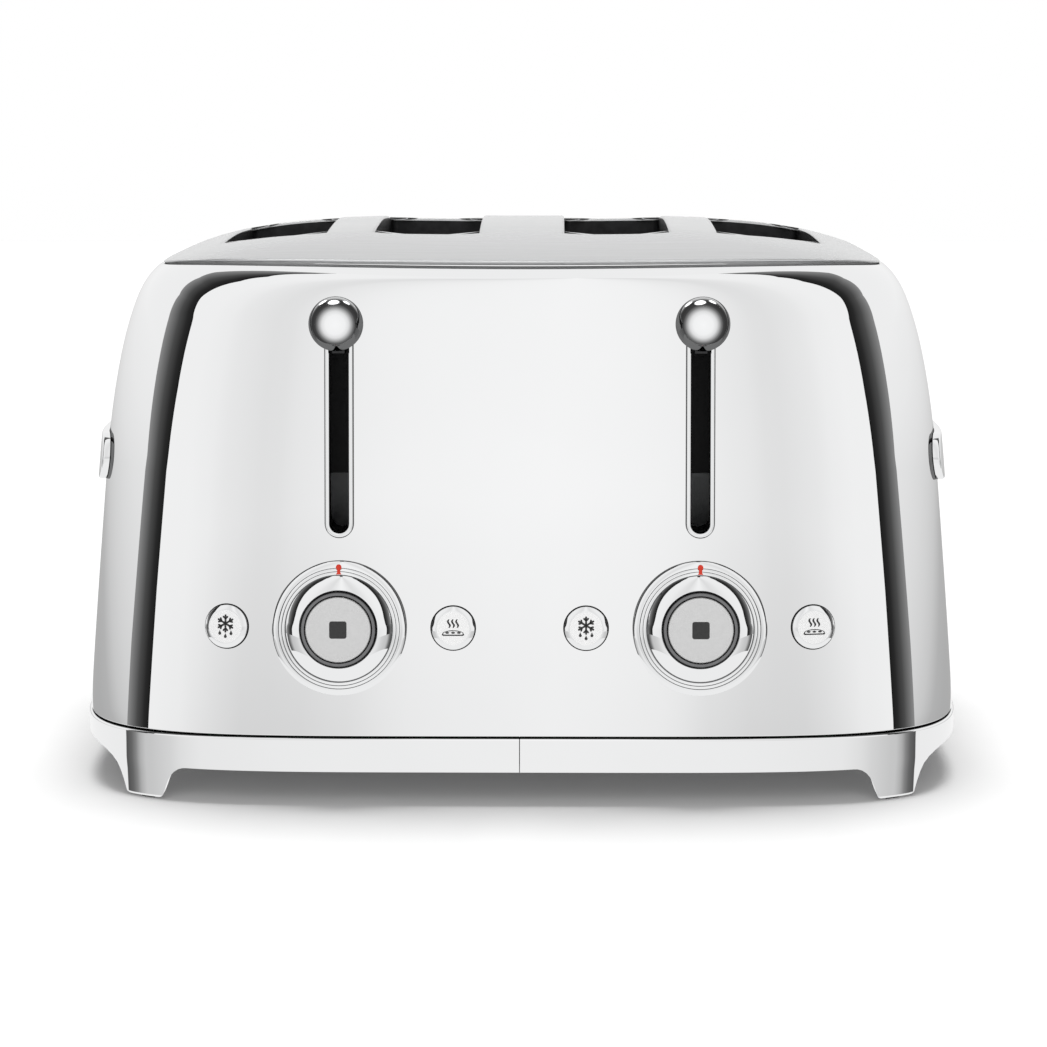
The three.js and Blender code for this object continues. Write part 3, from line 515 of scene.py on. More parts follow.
def surface(name, low, high, roughness, scale, metallic=0.0, stretch=(1, 1, 1), bump=0.0, bump_scale=None):
    """A finish whose colour and roughness vary between two values, with a fine relief."""
    material, tree, shader = node_material(name)
    shader.inputs["Metallic"].default_value = metallic
    grain = noise_node(tree, scale, stretch)
    tree.links.new(tint(tree, grain, low, high), shader.inputs["Base Color"])
    rough = spread(tree, grain, NOISE_LOW, NOISE_HIGH, *roughness)
    tree.links.new(rough, shader.inputs["Roughness"])
    if bump:
        relief = tree.nodes.new("ShaderNodeBump")
        relief.inputs["Strength"].default_value = bump
        relief.inputs["Distance"].default_value = RELIEF_DEPTH
        fine = noise_node(tree, bump_scale or scale, stretch, detail=2)
        tree.links.new(fine, relief.inputs["Height"])
        tree.links.new(relief.outputs["Normal"], shader.inputs["Normal"])
    return material


# Roughness of the mirror finish, low enough for the world to tell its rays from those of satin finishes
MIRROR_SMOOTH = (0.001, 0.0035)

materials = {
    "polished_steel": surface("polished steel", (0.88, 0.883, 0.887), (0.895, 0.898, 0.902), MIRROR_SMOOTH, 14,
                              metallic=1),
    "brushed_top": surface("satin steel", (0.60, 0.604, 0.608), (0.645, 0.65, 0.655), (0.17, 0.23), 900,
                           metallic=0.5, stretch=(0.03, 1, 1), bump=0.12, bump_scale=2500),
    "trim_chrome": surface("bright chrome", (0.86, 0.865, 0.87), (0.885, 0.89, 0.895), MIRROR_SMOOTH, 30,
                           metallic=1),
    "ball_chrome": surface("pearl chrome", (0.86, 0.865, 0.87), (0.88, 0.885, 0.89), (0.07, 0.09), 60,
                           metallic=1),
    "chassis_steel": surface("galvanised sheet", (0.30, 0.31, 0.32), (0.46, 0.47, 0.48), (0.32, 0.5), 120,
                             metallic=1, bump=0.15),
    "black_steel": surface("blackened steel", (0.012, 0.012, 0.013), (0.03, 0.03, 0.032), (0.35, 0.5), 300,
                           metallic=0.4, bump=0.2),
    "bright_wire": surface("bright steel wire", (0.62, 0.63, 0.64), (0.74, 0.75, 0.76), (0.12, 0.25), 300,
                           metallic=1),
    "mica": surface("mica sheet", (0.30, 0.25, 0.18), (0.44, 0.38, 0.29), (0.4, 0.6), 90,
                    stretch=(1, 0.3, 2), bump=0.3),
    "black_plastic": surface("matt black plastic", (0.010, 0.010, 0.011), (0.02, 0.02, 0.021), (0.45, 0.6), 700,
                             bump=0.2, bump_scale=1800),
    "dark_ring": surface("dark grey gloss", (0.16, 0.161, 0.165), (0.19, 0.191, 0.195), (0.22, 0.3), 400,
                         metallic=0.85),
    "button_grey": surface("satin light grey", (0.60, 0.60, 0.60), (0.64, 0.64, 0.64), (0.36, 0.44), 600,
                           metallic=0.7, bump=0.08, bump_scale=2600),
    "button_silver": surface("satin silver", (0.84, 0.84, 0.84), (0.88, 0.88, 0.88), (0.3, 0.4), 500,
                             metallic=0.7, bump=0.02, bump_scale=2600),
    "rubber": surface("moulded rubber", (0.02, 0.02, 0.02), (0.035, 0.035, 0.036), (0.7, 0.85), 500,
                      bump=0.3, bump_scale=1400),
    "circuit_board": surface("green lacquer", (0.02, 0.10, 0.04), (0.04, 0.16, 0.07), (0.25, 0.4), 240,
                             bump=0.2),
    "magnet_iron": surface("lacquered core", (0.16, 0.11, 0.05), (0.30, 0.22, 0.12), (0.35, 0.5), 200,
                           metallic=0.3, stretch=(1, 1, 9), bump=0.3),
    "mark_red": surface("red paint", (0.60, 0.025, 0.008), (0.74, 0.045, 0.015), (0.5, 0.6), 900),
    "mark_black": surface("black paint", (0.012, 0.012, 0.012), (0.022, 0.022, 0.022), (0.4, 0.5), 900),
}


def finish(obj, body, slot, *replaced, look=None):
    """Gives a piece its look, the CAD body that it moves with and the nodes that it stands for."""
    obj.data.materials.clear()
    obj.data.materials.append(materials[look or slot])
    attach(obj, body)
    if replaced:
        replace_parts(obj, *replaced)
    return obj


def turned_piece(name, profile, place, normal, steps, edge, body, slot, *replaced, look=None):
    """A finished piece turned about an axis, with edges sharper than an angle in degrees kept."""
    piece = turned(name, profile, place, normal, steps)
    sharpen(outward(piece), edge)
    return finish(piece, body, slot, *replaced, look=look)


# Body shell

LEVER_HOLE_EASE = 1.3
LEVER_HOLE_DEPTH = 36
DIAL_HOLE = 15.4
BUTTON_HOLE = 8.25
GLAND_HOLE = 7
GLAND_HOLE_DEPTH = 8
ROUND_HOLE_DEPTH = 10
DOOR_GAP = 0.3
DOOR_HOLE_DEPTH = 30
# How far cutters stick out of the body
CLEAR = 5


def shell_openings():
    """Cutters for levers, dials, buttons, tray doors and cord."""
    cutters = []
    for _, sign in SIDES:
        x = sign * MODULE_X
        outline = stadium(x, LEVER_HOLE_EASE, LEVER_SLOT_BOTTOM, LEVER_SLOT_TOP, LEVER_SLOT_HALF,
                          arc=12, straight=4)
        cutters.append(prism("cutter", outline, -BASE_HALF_DEPTH - CLEAR, -BASE_HALF_DEPTH + LEVER_HOLE_DEPTH))
        cutters.append(drum("cutter", DIAL_HOLE, control_place(x), DIAL_NORMAL, ROUND_HOLE_DEPTH, 48))
        left, right = x - TRAY_HALF_WIDTH - DOOR_GAP, x + TRAY_HALF_WIDTH + DOOR_GAP
        low, high = TRAY_DOOR[0] - DOOR_GAP, TRAY_DOOR[1] + DOOR_GAP
        corners = [(left, low), (right, low), (right, high), (left, high)]
        cutters.append(prism("cutter", corners, BASE_HALF_DEPTH - DOOR_HOLE_DEPTH, BASE_HALF_DEPTH + CLEAR))
        for spot in (x - BUTTON_OFFSET, x + BUTTON_OFFSET):
            place, normal = face_place(spot, CONTROL_HEIGHT), face_normal(spot, CONTROL_HEIGHT)
            cutters.append(drum("cutter", BUTTON_HOLE, place, normal, ROUND_HOLE_DEPTH, 64))
    cutters.append(drum("cutter", GLAND_HOLE, *gland_axis(), GLAND_HOLE_DEPTH, 48))
    return joined("cutters", cutters)


def make_shell():
    angles = plan_angles(BODY_STEPS)
    gap, roll = 0.2, 0.5
    bottom = SHELL_BOTTOM + gap
    rows = []
    for turn in np.linspace(0, math.pi / 2, 5)[:-1]:
        inset, z = roll * (1 - math.sin(turn)), bottom + roll * (1 - math.cos(turn))
        rows.append(plan_row(angles, half_width(bottom + roll) - inset, half_depth(bottom + roll) - inset, z))
    reach = FRONT_SHOULDER[0]
    heights = list(np.linspace(bottom + roll, SHELL_TOP - reach, 36)[:-1])
    heights += [SHELL_TOP - reach + reach * math.sin(turn) for turn in np.linspace(0, math.pi / 2, 40)]
    rows += [shell_row(angles, z) for z in heights]
    # The rounded top edge: how far in, and how far down
    for inset, drop in ((0.12, -0.05), (0.4, -0.05), (0.85, 0.1), (1.0, 0.25), (1.0, 1.2)):
        row = shell_row(angles, SHELL_TOP, inset)
        row[:, 2] -= drop
        rows.append(row)
    for z in np.linspace(SHELL_TOP, bottom + SHELL_WALL + 0.3, 12):
        row = shell_row(angles, z, SHELL_WALL)
        row[:, 2] -= SHELL_WALL
        rows.append(row)
    shell = new_object("shell", np.concatenate(rows), tube_faces(len(rows), BODY_STEPS, loop=True))
    cut(shell, [shell_openings()])
    points = places_mm(shell)
    normals, skin = shell_normals(points)
    near, margin = 0.03, 0.01
    on_skin = (np.linalg.norm(points - skin, axis=1) < near) & (points[:, 2] > bottom + roll - margin)
    set_exact_normals(shell, normals, on_skin)
    finish(shell, "root", "polished_steel", "body_shell")


make_shell()


# Top panel with rolled slot edges

RIM_START = 2.7
RIM_INSET = 0.7
RIM_ROLL = 0.5
SLOT_ROLL = 1.0
PANEL_SHEET = 1.2
COLLAR_DROP = 3
# Rings of points that fill the upper face, as shares of its size
CROWN_RINGS = (
    0.06, 0.14, 0.22, 0.3, 0.38, 0.46, 0.54, 0.62, 0.69, 0.76, 0.82, 0.87, 0.91, 0.945, 0.97, 0.985,
)
CROWN_STEPS = 160


def rounded_outline(centre_x, grow, arc=8, long_steps=28, short_steps=8):
    """A slot's outline in X and Y, grown outwards, with the directions it faces."""
    half_w, half_l = SLOT_HALF_WIDTH - SLOT_CORNER, SLOT_HALF_LENGTH - SLOT_CORNER
    radius = SLOT_CORNER + grow
    corners = ((1, 1), (-1, 1), (-1, -1), (1, -1))
    points, facing = [], []
    for quarter, (sx, sy) in enumerate(corners):
        for step in range(arc):
            angle = (quarter + step / arc) * math.pi / 2
            ray = (math.cos(angle), math.sin(angle))
            points.append((centre_x + sx * half_w + radius * ray[0], sy * half_l + radius * ray[1]))
            facing.append(ray)
        angle = (quarter + 1) * math.pi / 2
        ray = (round(math.cos(angle)), round(math.sin(angle)))
        start = (centre_x + sx * half_w + radius * ray[0], sy * half_l + radius * ray[1])
        nx, ny = corners[(quarter + 1) % 4]
        end = (centre_x + nx * half_w + radius * ray[0], ny * half_l + radius * ray[1])
        run = long_steps if quarter % 2 else short_steps
        for step in range(run):
            share = step / run
            points.append((start[0] + (end[0] - start[0]) * share, start[1] + (end[1] - start[1]) * share))
            facing.append(ray)
    return np.array(points), np.array(facing)


def crown_plan(angles, a, b):
    """The panel's upper face in X and Y: its points, its triangles, and where each given point went."""
    rim = np.stack(plan_places(angles, a - RIM_START, b - RIM_START), axis=1)
    flat, edges = [], []
    for outline in (rim, *(rounded_outline(x, SLOT_ROLL)[0] for x in SLOT_CENTRES)):
        start, count = len(flat), len(outline)
        flat.extend(map(tuple, outline))
        edges.extend((start + step, start + (step + 1) % count) for step in range(count))

    def beside(x, reach):
        return any(abs(x - centre) < SLOT_HALF_WIDTH + reach for centre in SLOT_CENTRES)

    room = SLOT_ROLL + 1
    inner_angles = plan_angles(CROWN_STEPS)
    for share in CROWN_RINGS:
        for x, y in zip(*plan_places(inner_angles, (a - RIM_START) * share, (b - RIM_START) * share)):
            if abs(y) >= SLOT_HALF_LENGTH + room or not beside(x, room):
                flat.append((x, y))
    merge_within = 1e-5
    made = delaunay_2d_cdt([Vector(point) for point in flat], edges, [], 0, merge_within)
    flat = np.array([tuple(point) for point in made[0]])
    # Triangles in a slot are left out as far as the start of its rounded corners
    triangles = []
    for triangle in made[2]:
        x, y = flat[list(triangle)].mean(axis=0)
        if abs(y) > SLOT_HALF_LENGTH - SLOT_CORNER or not beside(x, SLOT_ROLL * 0.6):
            triangles.append(tuple(triangle))
    lookup = {source: index for index, group in enumerate(made[3]) for source in group}
    return flat, triangles, lookup


def make_panel():
    angles = plan_angles(BODY_STEPS)
    a, b = half_width(SHELL_TOP), half_depth(SHELL_TOP)
    flat, triangles, lookup = crown_plan(angles, a, b)
    points, normals, faces = [], [], list(triangles)

    def add_row(xyz, direction):
        start = len(points)
        points.extend(map(tuple, xyz))
        normals.extend(map(tuple, direction))
        return list(range(start, len(points)))

    def run_down(rows, first, count, flip):
        """Joins a ring of the upper face through rows of points to the same ring of the lower face."""
        ring = [lookup[first + index] for index in range(count)]
        rings = [ring, *(add_row(*row) for row in rows), [index + len(flat) for index in ring]]
        for upper, lower in zip(rings, rings[1:]):
            for step in range(count):
                after = (step + 1) % count
                face = (upper[step], lower[step], lower[after], upper[after])
                faces.append(face[::-1] if flip else face)

    # The crowned upper face, and the lower one under it
    crown = np.column_stack([flat, crown_height(flat[:, 0], flat[:, 1])])
    upward = crown_normals(flat[:, 0], flat[:, 1])
    add_row(crown, upward)
    add_row(crown - (0, 0, PANEL_SHEET), -upward)
    faces.extend(tuple(index + len(flat) for index in face[::-1]) for face in triangles)

    # Rolled rim and a skirt inside the shell
    level = plain_normals(plan_row(angles, a, b, SHELL_TOP), lambda z: a + 0 * z, lambda z: b + 0 * z)
    rows = []
    for turn in np.linspace(0, math.pi / 2, 9)[1:]:
        inset = RIM_START - (RIM_START - RIM_INSET) * math.sin(turn)
        row = plan_row(angles, a - inset, b - inset, 0)
        row[:, 2] = crown_height(row[:, 0], row[:, 1]) - RIM_ROLL * (1 - math.cos(turn))
        direction = level * math.sin(turn) ** 2
        direction[:, 2] = math.cos(turn)
        rows.append((row, direction))
    rim_low = rows[-1][0][:, 2].copy()
    # Inset and drop of each row, and how far it faces outwards and upwards
    for inset, drop, lean, rise in (
        (0.75, 0.12, 0.7, -0.7), (1.2, 0.16, 0.1, -1), (1.45, 0.3, 1, -0.3),
        (1.45, 5.0, 1, 0), (2.7, 5.0, -1, 0),
    ):
        row = plan_row(angles, a - inset, b - inset, 0)
        row[:, 2] = rim_low - drop
        direction = level * lean
        direction[:, 2] = rise
        rows.append((row, direction))
    run_down(rows, 0, BODY_STEPS, False)

    # Rolled slot edges and collars; the collars' inner walls are black, painted shade for the dark depth of the
    # slots
    slot_shade_start = len(faces)
    first = BODY_STEPS
    for x in SLOT_CENTRES:
        top, facing = rounded_outline(x, SLOT_ROLL)
        count = len(top)
        top_z = crown_height(top[:, 0], top[:, 1])
        rows = []
        for turn in np.linspace(0, math.pi / 2, 7)[1:]:
            outline, _ = rounded_outline(x, SLOT_ROLL * (1 - math.sin(turn)))
            row = np.column_stack([outline, top_z - SLOT_ROLL * (1 - math.cos(turn))])
            rows.append((row, np.column_stack([-facing * math.sin(turn), np.full(count, math.cos(turn))])))
        for grow, lean in ((0, -1.0), (SLOT_ROLL, 1.0)):
            outline, _ = rounded_outline(x, grow)
            row = np.column_stack([outline, np.full(count, PANEL_EDGE - COLLAR_DROP)])
            rows.append((row, np.column_stack([facing * lean, np.zeros(count)])))
        run_down(rows, first, count, True)
        first += count
    panel = new_object("panel", points, faces)
    panel.data.normals_split_custom_set_from_vertices([tuple(normal) for normal in normals])
    finish(panel, "root", "brushed_top", "top_panel")
    panel.data.materials.append(materials["black_steel"])
    # The lower collar walls take the blackened steel as painted shade inside the slots
    for face in panel.data.polygons[slot_shade_start:]:
        low = min(points[corner][2] for corner in face.vertices)
        face.material_index = int(low < PANEL_EDGE - COLLAR_DROP + 0.1)


make_panel()


def make_rim_strip(name, spots, slot):
    """A closed strip round the top.

    A spot is an inset, a share of the gap from panel down to shell, and how far it tucks in towards the sides.
    """
    steps = 360
    angles = plan_angles(steps)
    a, b = half_width(SHELL_TOP), half_depth(SHELL_TOP)
    across = edge_across(angles, a, b)
    upper = PANEL_EDGE - panel_dip(across) - RIM_ROLL
    lower = SHELL_TOP - shell_dip(across)
    tuck_start, tuck_run = 0.15, 0.7
    rows = []
    for inset, share, hide in spots:
        tuck = hide * np.clip((across - tuck_start) / tuck_run, 0, 1) ** 1.5
        ray = plan_row(angles, a - inset, b - inset, 0)
        ray[:, :2] *= (1 - tuck / np.linalg.norm(ray[:, :2], axis=1))[:, None]
        ray[:, 2] = upper + (lower - upper) * share
        rows.append(ray)
    strip = new_object(name, np.concatenate(rows), tube_faces(len(rows), steps, loop=True))
    sharpen(outward(strip), 50)
    finish(strip, "root", slot)


# A bright bead between two dark lines, where the panel meets the shell, and behind it a black strip of painted
# shade that darkens the gap
BEAD_TUCK = 1.6
bead = [(inset, share, BEAD_TUCK) for inset, share in arc_points(1.2, 0.58, 0.36, 0.22, 0, 360, 14, last=False)]
make_rim_strip("rim_bead", bead, "trim_chrome")
# The black strip in the gap is painted shade that stands for the gap's shadow
make_rim_strip("rim_gap_shade", [(1.9, -0.3, 0), (1.9, 1.6, 0), (2.6, 1.6, 0), (2.6, -0.3, 0)], "black_plastic")


# Base ring in two halves with a foot at each corner

RING_ROLL = 0.8
FOOT_ROLL = 1.1
# Half of the seam between the two halves, in metres
SEAM_HALF = 0.00015


def ring_inset(z):
    """How far the ring's outer face stands in from its widest, by height."""
    taper = FOOT_TAPER * np.clip((RING_BOTTOM - z) / (RING_BOTTOM - FOOT_BOTTOM), 0, 1)
    high = np.clip((z - (RING_TOP - RING_ROLL)) / RING_ROLL, 0, ROUND_REACH)
    low = np.clip((FOOT_BOTTOM + FOOT_ROLL - z) / FOOT_ROLL, 0, ROUND_REACH)
    return taper + RING_ROLL * (1 - np.sqrt(1 - high**2)) + FOOT_ROLL * (1 - np.sqrt(1 - low**2))


def ring_width(z):
    return BASE_HALF_WIDTH - ring_inset(z)


def ring_depth(z):
    return BASE_HALF_DEPTH - ring_inset(z)


# The foot's edge under the arch: how far in from the foot's inner face, and how high
FRONT_ARCH = (
    (-1.6, -3), (-1.6, 0.55), (-0.4, 0.85), (0.4, 1.5), (0.9, 2.6), (1.4, 4.0), (2.0, 5.8), (2.8, 7.8),
    (3.7, 9.4), (5.0, 10.9), (6.6, 12.0), (8.2, 12.5), (9.6, 12.6),
)
SIDE_ARCH = (
    (-8.2, -3), (-8.2, 0.55), (-7.4, 0.85), (-6.8, 1.6), (-6.5, 3.0), (-5.8, 6.0), (-4.8, 9.0), (-3.4, 11.6),
    (-1.0, 13.6), (3.0, 15.2), (8.0, 16.2), (14.0, 16.9), (22.0, 17.2), (34.0, 17.4),
)


def arch_outline(half, edge, wider=0.0):
    right = [(half - inset + wider, height) for inset, height in edge]
    return right + [(-x, z) for x, z in right[::-1]]


def arch_cutters(wider=0.0):
    """The two openings under the ring, one front to back and one side to side."""
    front, side = (arch_outline(half, edge, wider) for half, edge in zip(FOOT_INNER, (FRONT_ARCH, SIDE_ARCH)))
    along_y = prism("arch", front, -BASE_HALF_DEPTH - CLEAR, BASE_HALF_DEPTH + CLEAR)
    along_x = prism("arch", side, -BASE_HALF_WIDTH - CLEAR, BASE_HALF_WIDTH + CLEAR)
    to_middle = Matrix.Translation((0, SHIFT_Y * MM, 0))
    along_x.data.transform(to_middle @ Matrix.Rotation(math.pi / 2, 4, "Z") @ to_middle.inverted())
    return [along_y, along_x]


def plan_block(name, angles, levels):
    """A closed block with the base's plan. A level is an inset and a height."""
    rows = [plan_row(angles, BASE_HALF_WIDTH - inset, BASE_HALF_DEPTH - inset, z) for inset, z in levels]
    return new_object(name, np.concatenate(rows), tube_faces(len(rows), len(angles), capped=True))


def make_ring():
    angles = plan_angles(BODY_STEPS)
    heights = [FOOT_BOTTOM + FOOT_ROLL * (1 - math.cos(turn)) for turn in np.linspace(0.1, math.pi / 2, 9)]
    heights += [*np.linspace(2.6, RING_BOTTOM, 5), *np.linspace(RING_BOTTOM + 2, RING_TOP - RING_ROLL, 5)]
    for turn in np.linspace(0, math.pi / 2 * 0.97, 8)[1:]:
        heights.append(RING_TOP - RING_ROLL * (1 - math.sin(turn)))
    ring = plan_block("ring", angles, [*((ring_inset(z), z) for z in heights), (1.2, RING_TOP)])
    hollow = plan_block("hollow", angles[::4], [(RING_WALL, RING_BOTTOM - 0.3), (RING_WALL, RING_TOP + 3)])
    cut(ring, [hollow, *arch_cutters()])
    for name, sign in SIDES:
        half = ring if sign > 0 else ring.copy()
        if sign < 0:
            half.data = ring.data.copy()
            bpy.context.scene.collection.objects.link(half)
        half.name = f"ring_{name}"
        mesh = bmesh.new()
        mesh.from_mesh(half.data)
        made = bmesh.ops.bisect_plane(
            mesh, geom=mesh.verts[:] + mesh.edges[:] + mesh.faces[:], dist=1e-7,
            plane_co=(sign * SEAM_HALF, 0, 0), plane_no=(-sign, 0, 0), clear_outer=True,
        )
        rim = [item for item in made["geom_cut"] if isinstance(item, bmesh.types.BMEdge)]
        bmesh.ops.holes_fill(mesh, edges=rim)
        mesh.to_mesh(half.data)
        mesh.free()
        half.data.polygons.foreach_set("use_smooth", [True] * len(half.data.polygons))
        places = places_mm(half)
        z = places[:, 2]
        width, depth = ring_width(z), ring_depth(z)
        reach = np.abs(places[:, 0] / width) ** PLAN_EXPONENT + np.abs(places[:, 1] / depth) ** PLAN_EXPONENT
        gap = np.abs(reach ** (1 / PLAN_EXPONENT) - 1) * BASE_HALF_DEPTH
        near, margin = 0.04, 0.01
        on_face = (gap < near) & (z > FOOT_BOTTOM + margin) & (z < RING_TOP - margin)
        set_exact_normals(half, plain_normals(places, ring_width, ring_depth), on_face)
        finish(half, "root", "polished_steel", f"base_ring_{name}")


make_ring()


def make_pads():
    """The four rubber pads, a little inside the feet."""
    pads = plan_block("pads", plan_angles(BODY_STEPS // 2), [(2.0, 0), (1.7, 0.25), (1.7, 1.2)])
    cut(pads, arch_cutters(1.2))
    pads.name = "foot_pads"
    sharpen(pads, 35)
    finish(pads, "root", "rubber", *PAD_NODES)


make_pads()


# Controls

# Steps of the dial's rim: outer and inner radius, low and high edge, and slope at the outer edge in degrees
DIAL_RIM = ((24.2, 21.9, 2.6, 3.6, 52), (21.9, 20.7, 3.3, 3.8, 46), (20.7, 19.5, 3.5, 3.95, 42))


def make_dial(name, sign):
    place = control_place(sign * MODULE_X)
    profile = [(13.7, 0.5), (24.0, 0.5), (24.2, 0.7)]
    for outer, inner, low, high, steep in DIAL_RIM:
        steep = math.radians(steep)
        for share in np.linspace(0, 1, 9):
            tilt = steep * (1 - share)
            lean = math.sin(tilt) / math.sin(steep)
            rise = (math.cos(tilt) - math.cos(steep)) / (1 - math.cos(steep))
            profile.append((inner + (outer - inner) * lean, low + (high - low) * rise))
    # A cone that flattens towards the middle
    radius, height, run, steps = 19.45, 3.6, 5.2, 24
    steepest, easing = 50, 31
    for share in np.linspace(0, 1, steps):
        profile.append((radius, height))
        slope = math.radians(steepest - easing * share**0.8)
        radius -= run / (steps - 1)
        height += run / (steps - 1) * math.tan(slope)
    profile += [(14.1, height + 0.02), (13.9, height - 0.05), (13.7, height - 0.3), (13.7, 0.5)]
    body = f"dial_{name}"
    turned_piece(f"dial_{name}_knob", profile, place, DIAL_NORMAL, 160, 28, body, "trim_chrome", f"dial_{name}")
    # The pointer mark, a small bulb on a foot
    outline = arc_points(0, 22.15, 1.0, 1.05, -58, 238, 19)
    outline += [(-0.62, 20.9), (-0.55, 20.3), (-1.0, 19.6), (1.0, 19.6), (0.55, 20.3), (0.62, 20.9)]
    add_sign(f"dial_{name}_mark", [outline], place, DIAL_NORMAL, 4.02, body, "trim_chrome",
             look="mark_red", thick=0.72)


def make_hub(name, sign):
    profile = [
        (12.1, -19.7), (13.4, -19.7), (13.4, 8.2), (13.3, 8.45), (13.1, 8.58),
        (12.5, 8.6), (12.25, 8.52), (12.1, 8.3), (12.1, -19.7),
    ]
    place = control_place(sign * MODULE_X)
    turned_piece(f"hub_{name}", profile, place, DIAL_NORMAL, 96, 30, "root", "dark_ring", f"dial_hub_{name}")


def make_stop(name, sign):
    place = control_place(sign * MODULE_X)
    radius, roll, side_top = 11.8, 0.6, 8.4
    profile = [(0, -17.4), (3, -17.4), (3, -6), (radius, -6)]
    profile += arc_points(radius - roll, side_top, roll, roll, 0, 90, 5)
    profile += [(9.5, 9.1), (6, 9.2), (3, 9.26), (0, 9.3)]
    body, node = f"stop_{name}", f"stop_button_{name}"
    turned_piece(f"stop_{name}", profile, place, DIAL_NORMAL, 96, 30, body, "button_grey", node)
    # A plain rounded square, the common sign for stopping
    outline = []
    half, corner = 3.1, 0.8
    for start, sx, sy in ((0, 1, 1), (90, -1, 1), (180, -1, -1), (270, 1, -1)):
        x, y = sx * (half - corner), sy * (half - corner)
        outline += arc_points(x, y, corner, corner, start, start + 90, 6)
    add_sign(f"stop_{name}_sign", [outline], place, DIAL_NORMAL, 9.32, body, "button_grey")


def add_sign(name, outlines, place, normal, lift, body, slot, look="mark_black", thick=0.15):
    """Flat painted shapes that stand a hair above a face."""
    across, up = face_axes(normal)
    points, faces = [], []
    for outline in outlines:
        start = len(points)
        count = len(outline)
        for height in (lift - thick, lift):
            for u, v in outline:
                points.append(tuple(place + across * u + up * v + normal * height))
        faces.append(tuple(range(start + count, start + 2 * count)))
        for step in range(count):
            after = (step + 1) % count
            faces.append((start + step, start + after, start + count + after, start + count + step))
    finish(sharpen(new_object(name, points, faces)), body, slot, look=look)


def bar(x0, y0, x1, y1, width):
    """A straight stroke with round ends."""
    angle = math.degrees(math.atan2(y1 - y0, x1 - x0))
    end = arc_points(x1, y1, width / 2, width / 2, angle - 90, angle + 90, 8)
    return end + arc_points(x0, y0, width / 2, width / 2, angle + 90, angle + 270, 8)


def wavy(x, y0, y1, reach, width, steps=16):
    """An upright stroke with one wave in it."""
    left, right = [], []
    for step in range(steps + 1):
        share = step / steps
        middle = x + reach * math.sin(share * 2 * math.pi)
        y = y0 + (y1 - y0) * share
        taper = width / 2 * (0.55 + 0.45 * math.sin(share * math.pi))
        left.append((middle - taper, y))
        right.append((middle + taper, y))
    return right + left[::-1]


def ring_outline(outline, width):
    """Splits a closed outline into short quads that together draw its edge."""
    points = np.array(outline)
    middle = points.mean(axis=0)
    size = np.abs(points - middle).max(axis=0)
    inner = middle + (points - middle) * (1 - width / size)
    quads = []
    for step in range(len(points)):
        after = (step + 1) % len(points)
        quads.append([tuple(points[step]), tuple(points[after]), tuple(inner[after]), tuple(inner[step])])
    return quads


def snow_sign():
    shapes = []
    centre = 1.0
    for spoke in range(6):
        angle = math.pi / 2 + spoke * math.pi / 3
        dx, dy = math.cos(angle), math.sin(angle)
        shapes.append(bar(0.3 * dx, centre + 0.3 * dy, 2.7 * dx, centre + 2.7 * dy, 0.66))
        for lean in (-1, 1):
            branch = angle + lean * math.pi / 4
            bx, by = 1.55 * dx, centre + 1.55 * dy
            shapes.append(bar(bx + 0.25 * math.cos(branch), by + 0.25 * math.sin(branch),
                              bx + 0.95 * math.cos(branch), by + 0.95 * math.sin(branch), 0.6))
    for x, y in ((-1.9, -2.3), (0, -3.3), (1.9, -2.3)):
        shapes.append(arc_points(x, y, 0.5, 0.5, 130, 410, 13) + [(x, y + 1.15)])
    return shapes


def reheat_sign():
    shapes = [wavy(x, 0.2, 3.0, 0.34, 0.72) for x in (-1.35, 0, 1.35)]
    bread = arc_points(0, -1.75, 3.5, 1.15, 0, 180, 12)
    bread += [(-3.7, -2.1), (-3.3, -2.45), (3.3, -2.45), (3.7, -2.1)]
    shapes += ring_outline(bread, 0.42)
    for x in (-1.9, 0, 1.9):
        shapes.append([(x - 0.75, -1.35), (x - 0.35, -1.75), (x + 0.35, -1.75), (x + 0.75, -1.35), (x, -1.05)])
    return shapes


SIGN_SIZE = 1.1


def make_button(kind, name, x, sign_shapes):
    place, normal = face_place(x, CONTROL_HEIGHT), face_normal(x, CONTROL_HEIGHT)
    body, slot, node = f"{kind}_{name}", "button_silver", f"{kind}_button_{name}"
    profile = [
        (5.9, -5.5), (7.9, -5.5), (7.9, 0.75), (7.84, 0.93), (7.7, 1.05), (6.6, 1.66), (6.3, 1.8),
        (6.15, 1.84), (6.0, 1.83), (5.9, 1.79), (5.9, -5.5),
    ]
    turned_piece(f"{kind}_{name}_rim", profile, place, normal, 96, 32, body, slot, node, look="trim_chrome")
    profile = [(0, -10), (3, -10), (3, -6), (6.1, -6), (6.1, 1.8), (5.4, 1.81), (3, 1.83), (0, 1.84)]
    turned_piece(f"{kind}_{name}_face", profile, place, normal, 72, 32, body, slot, node)
    shapes = [[(u * SIGN_SIZE, v * SIGN_SIZE) for u, v in shape] for shape in sign_shapes]
    add_sign(f"{kind}_{name}_sign", shapes, place, normal, 1.87, body, slot)


for side, direction in SIDES:
    make_dial(side, direction)
    make_hub(side, direction)
    make_stop(side, direction)
    make_button("defrost", side, direction * MODULE_X - BUTTON_OFFSET, snow_sign())
    make_button("reheat", side, direction * MODULE_X + BUTTON_OFFSET, reheat_sign())


# Lever trim and balls

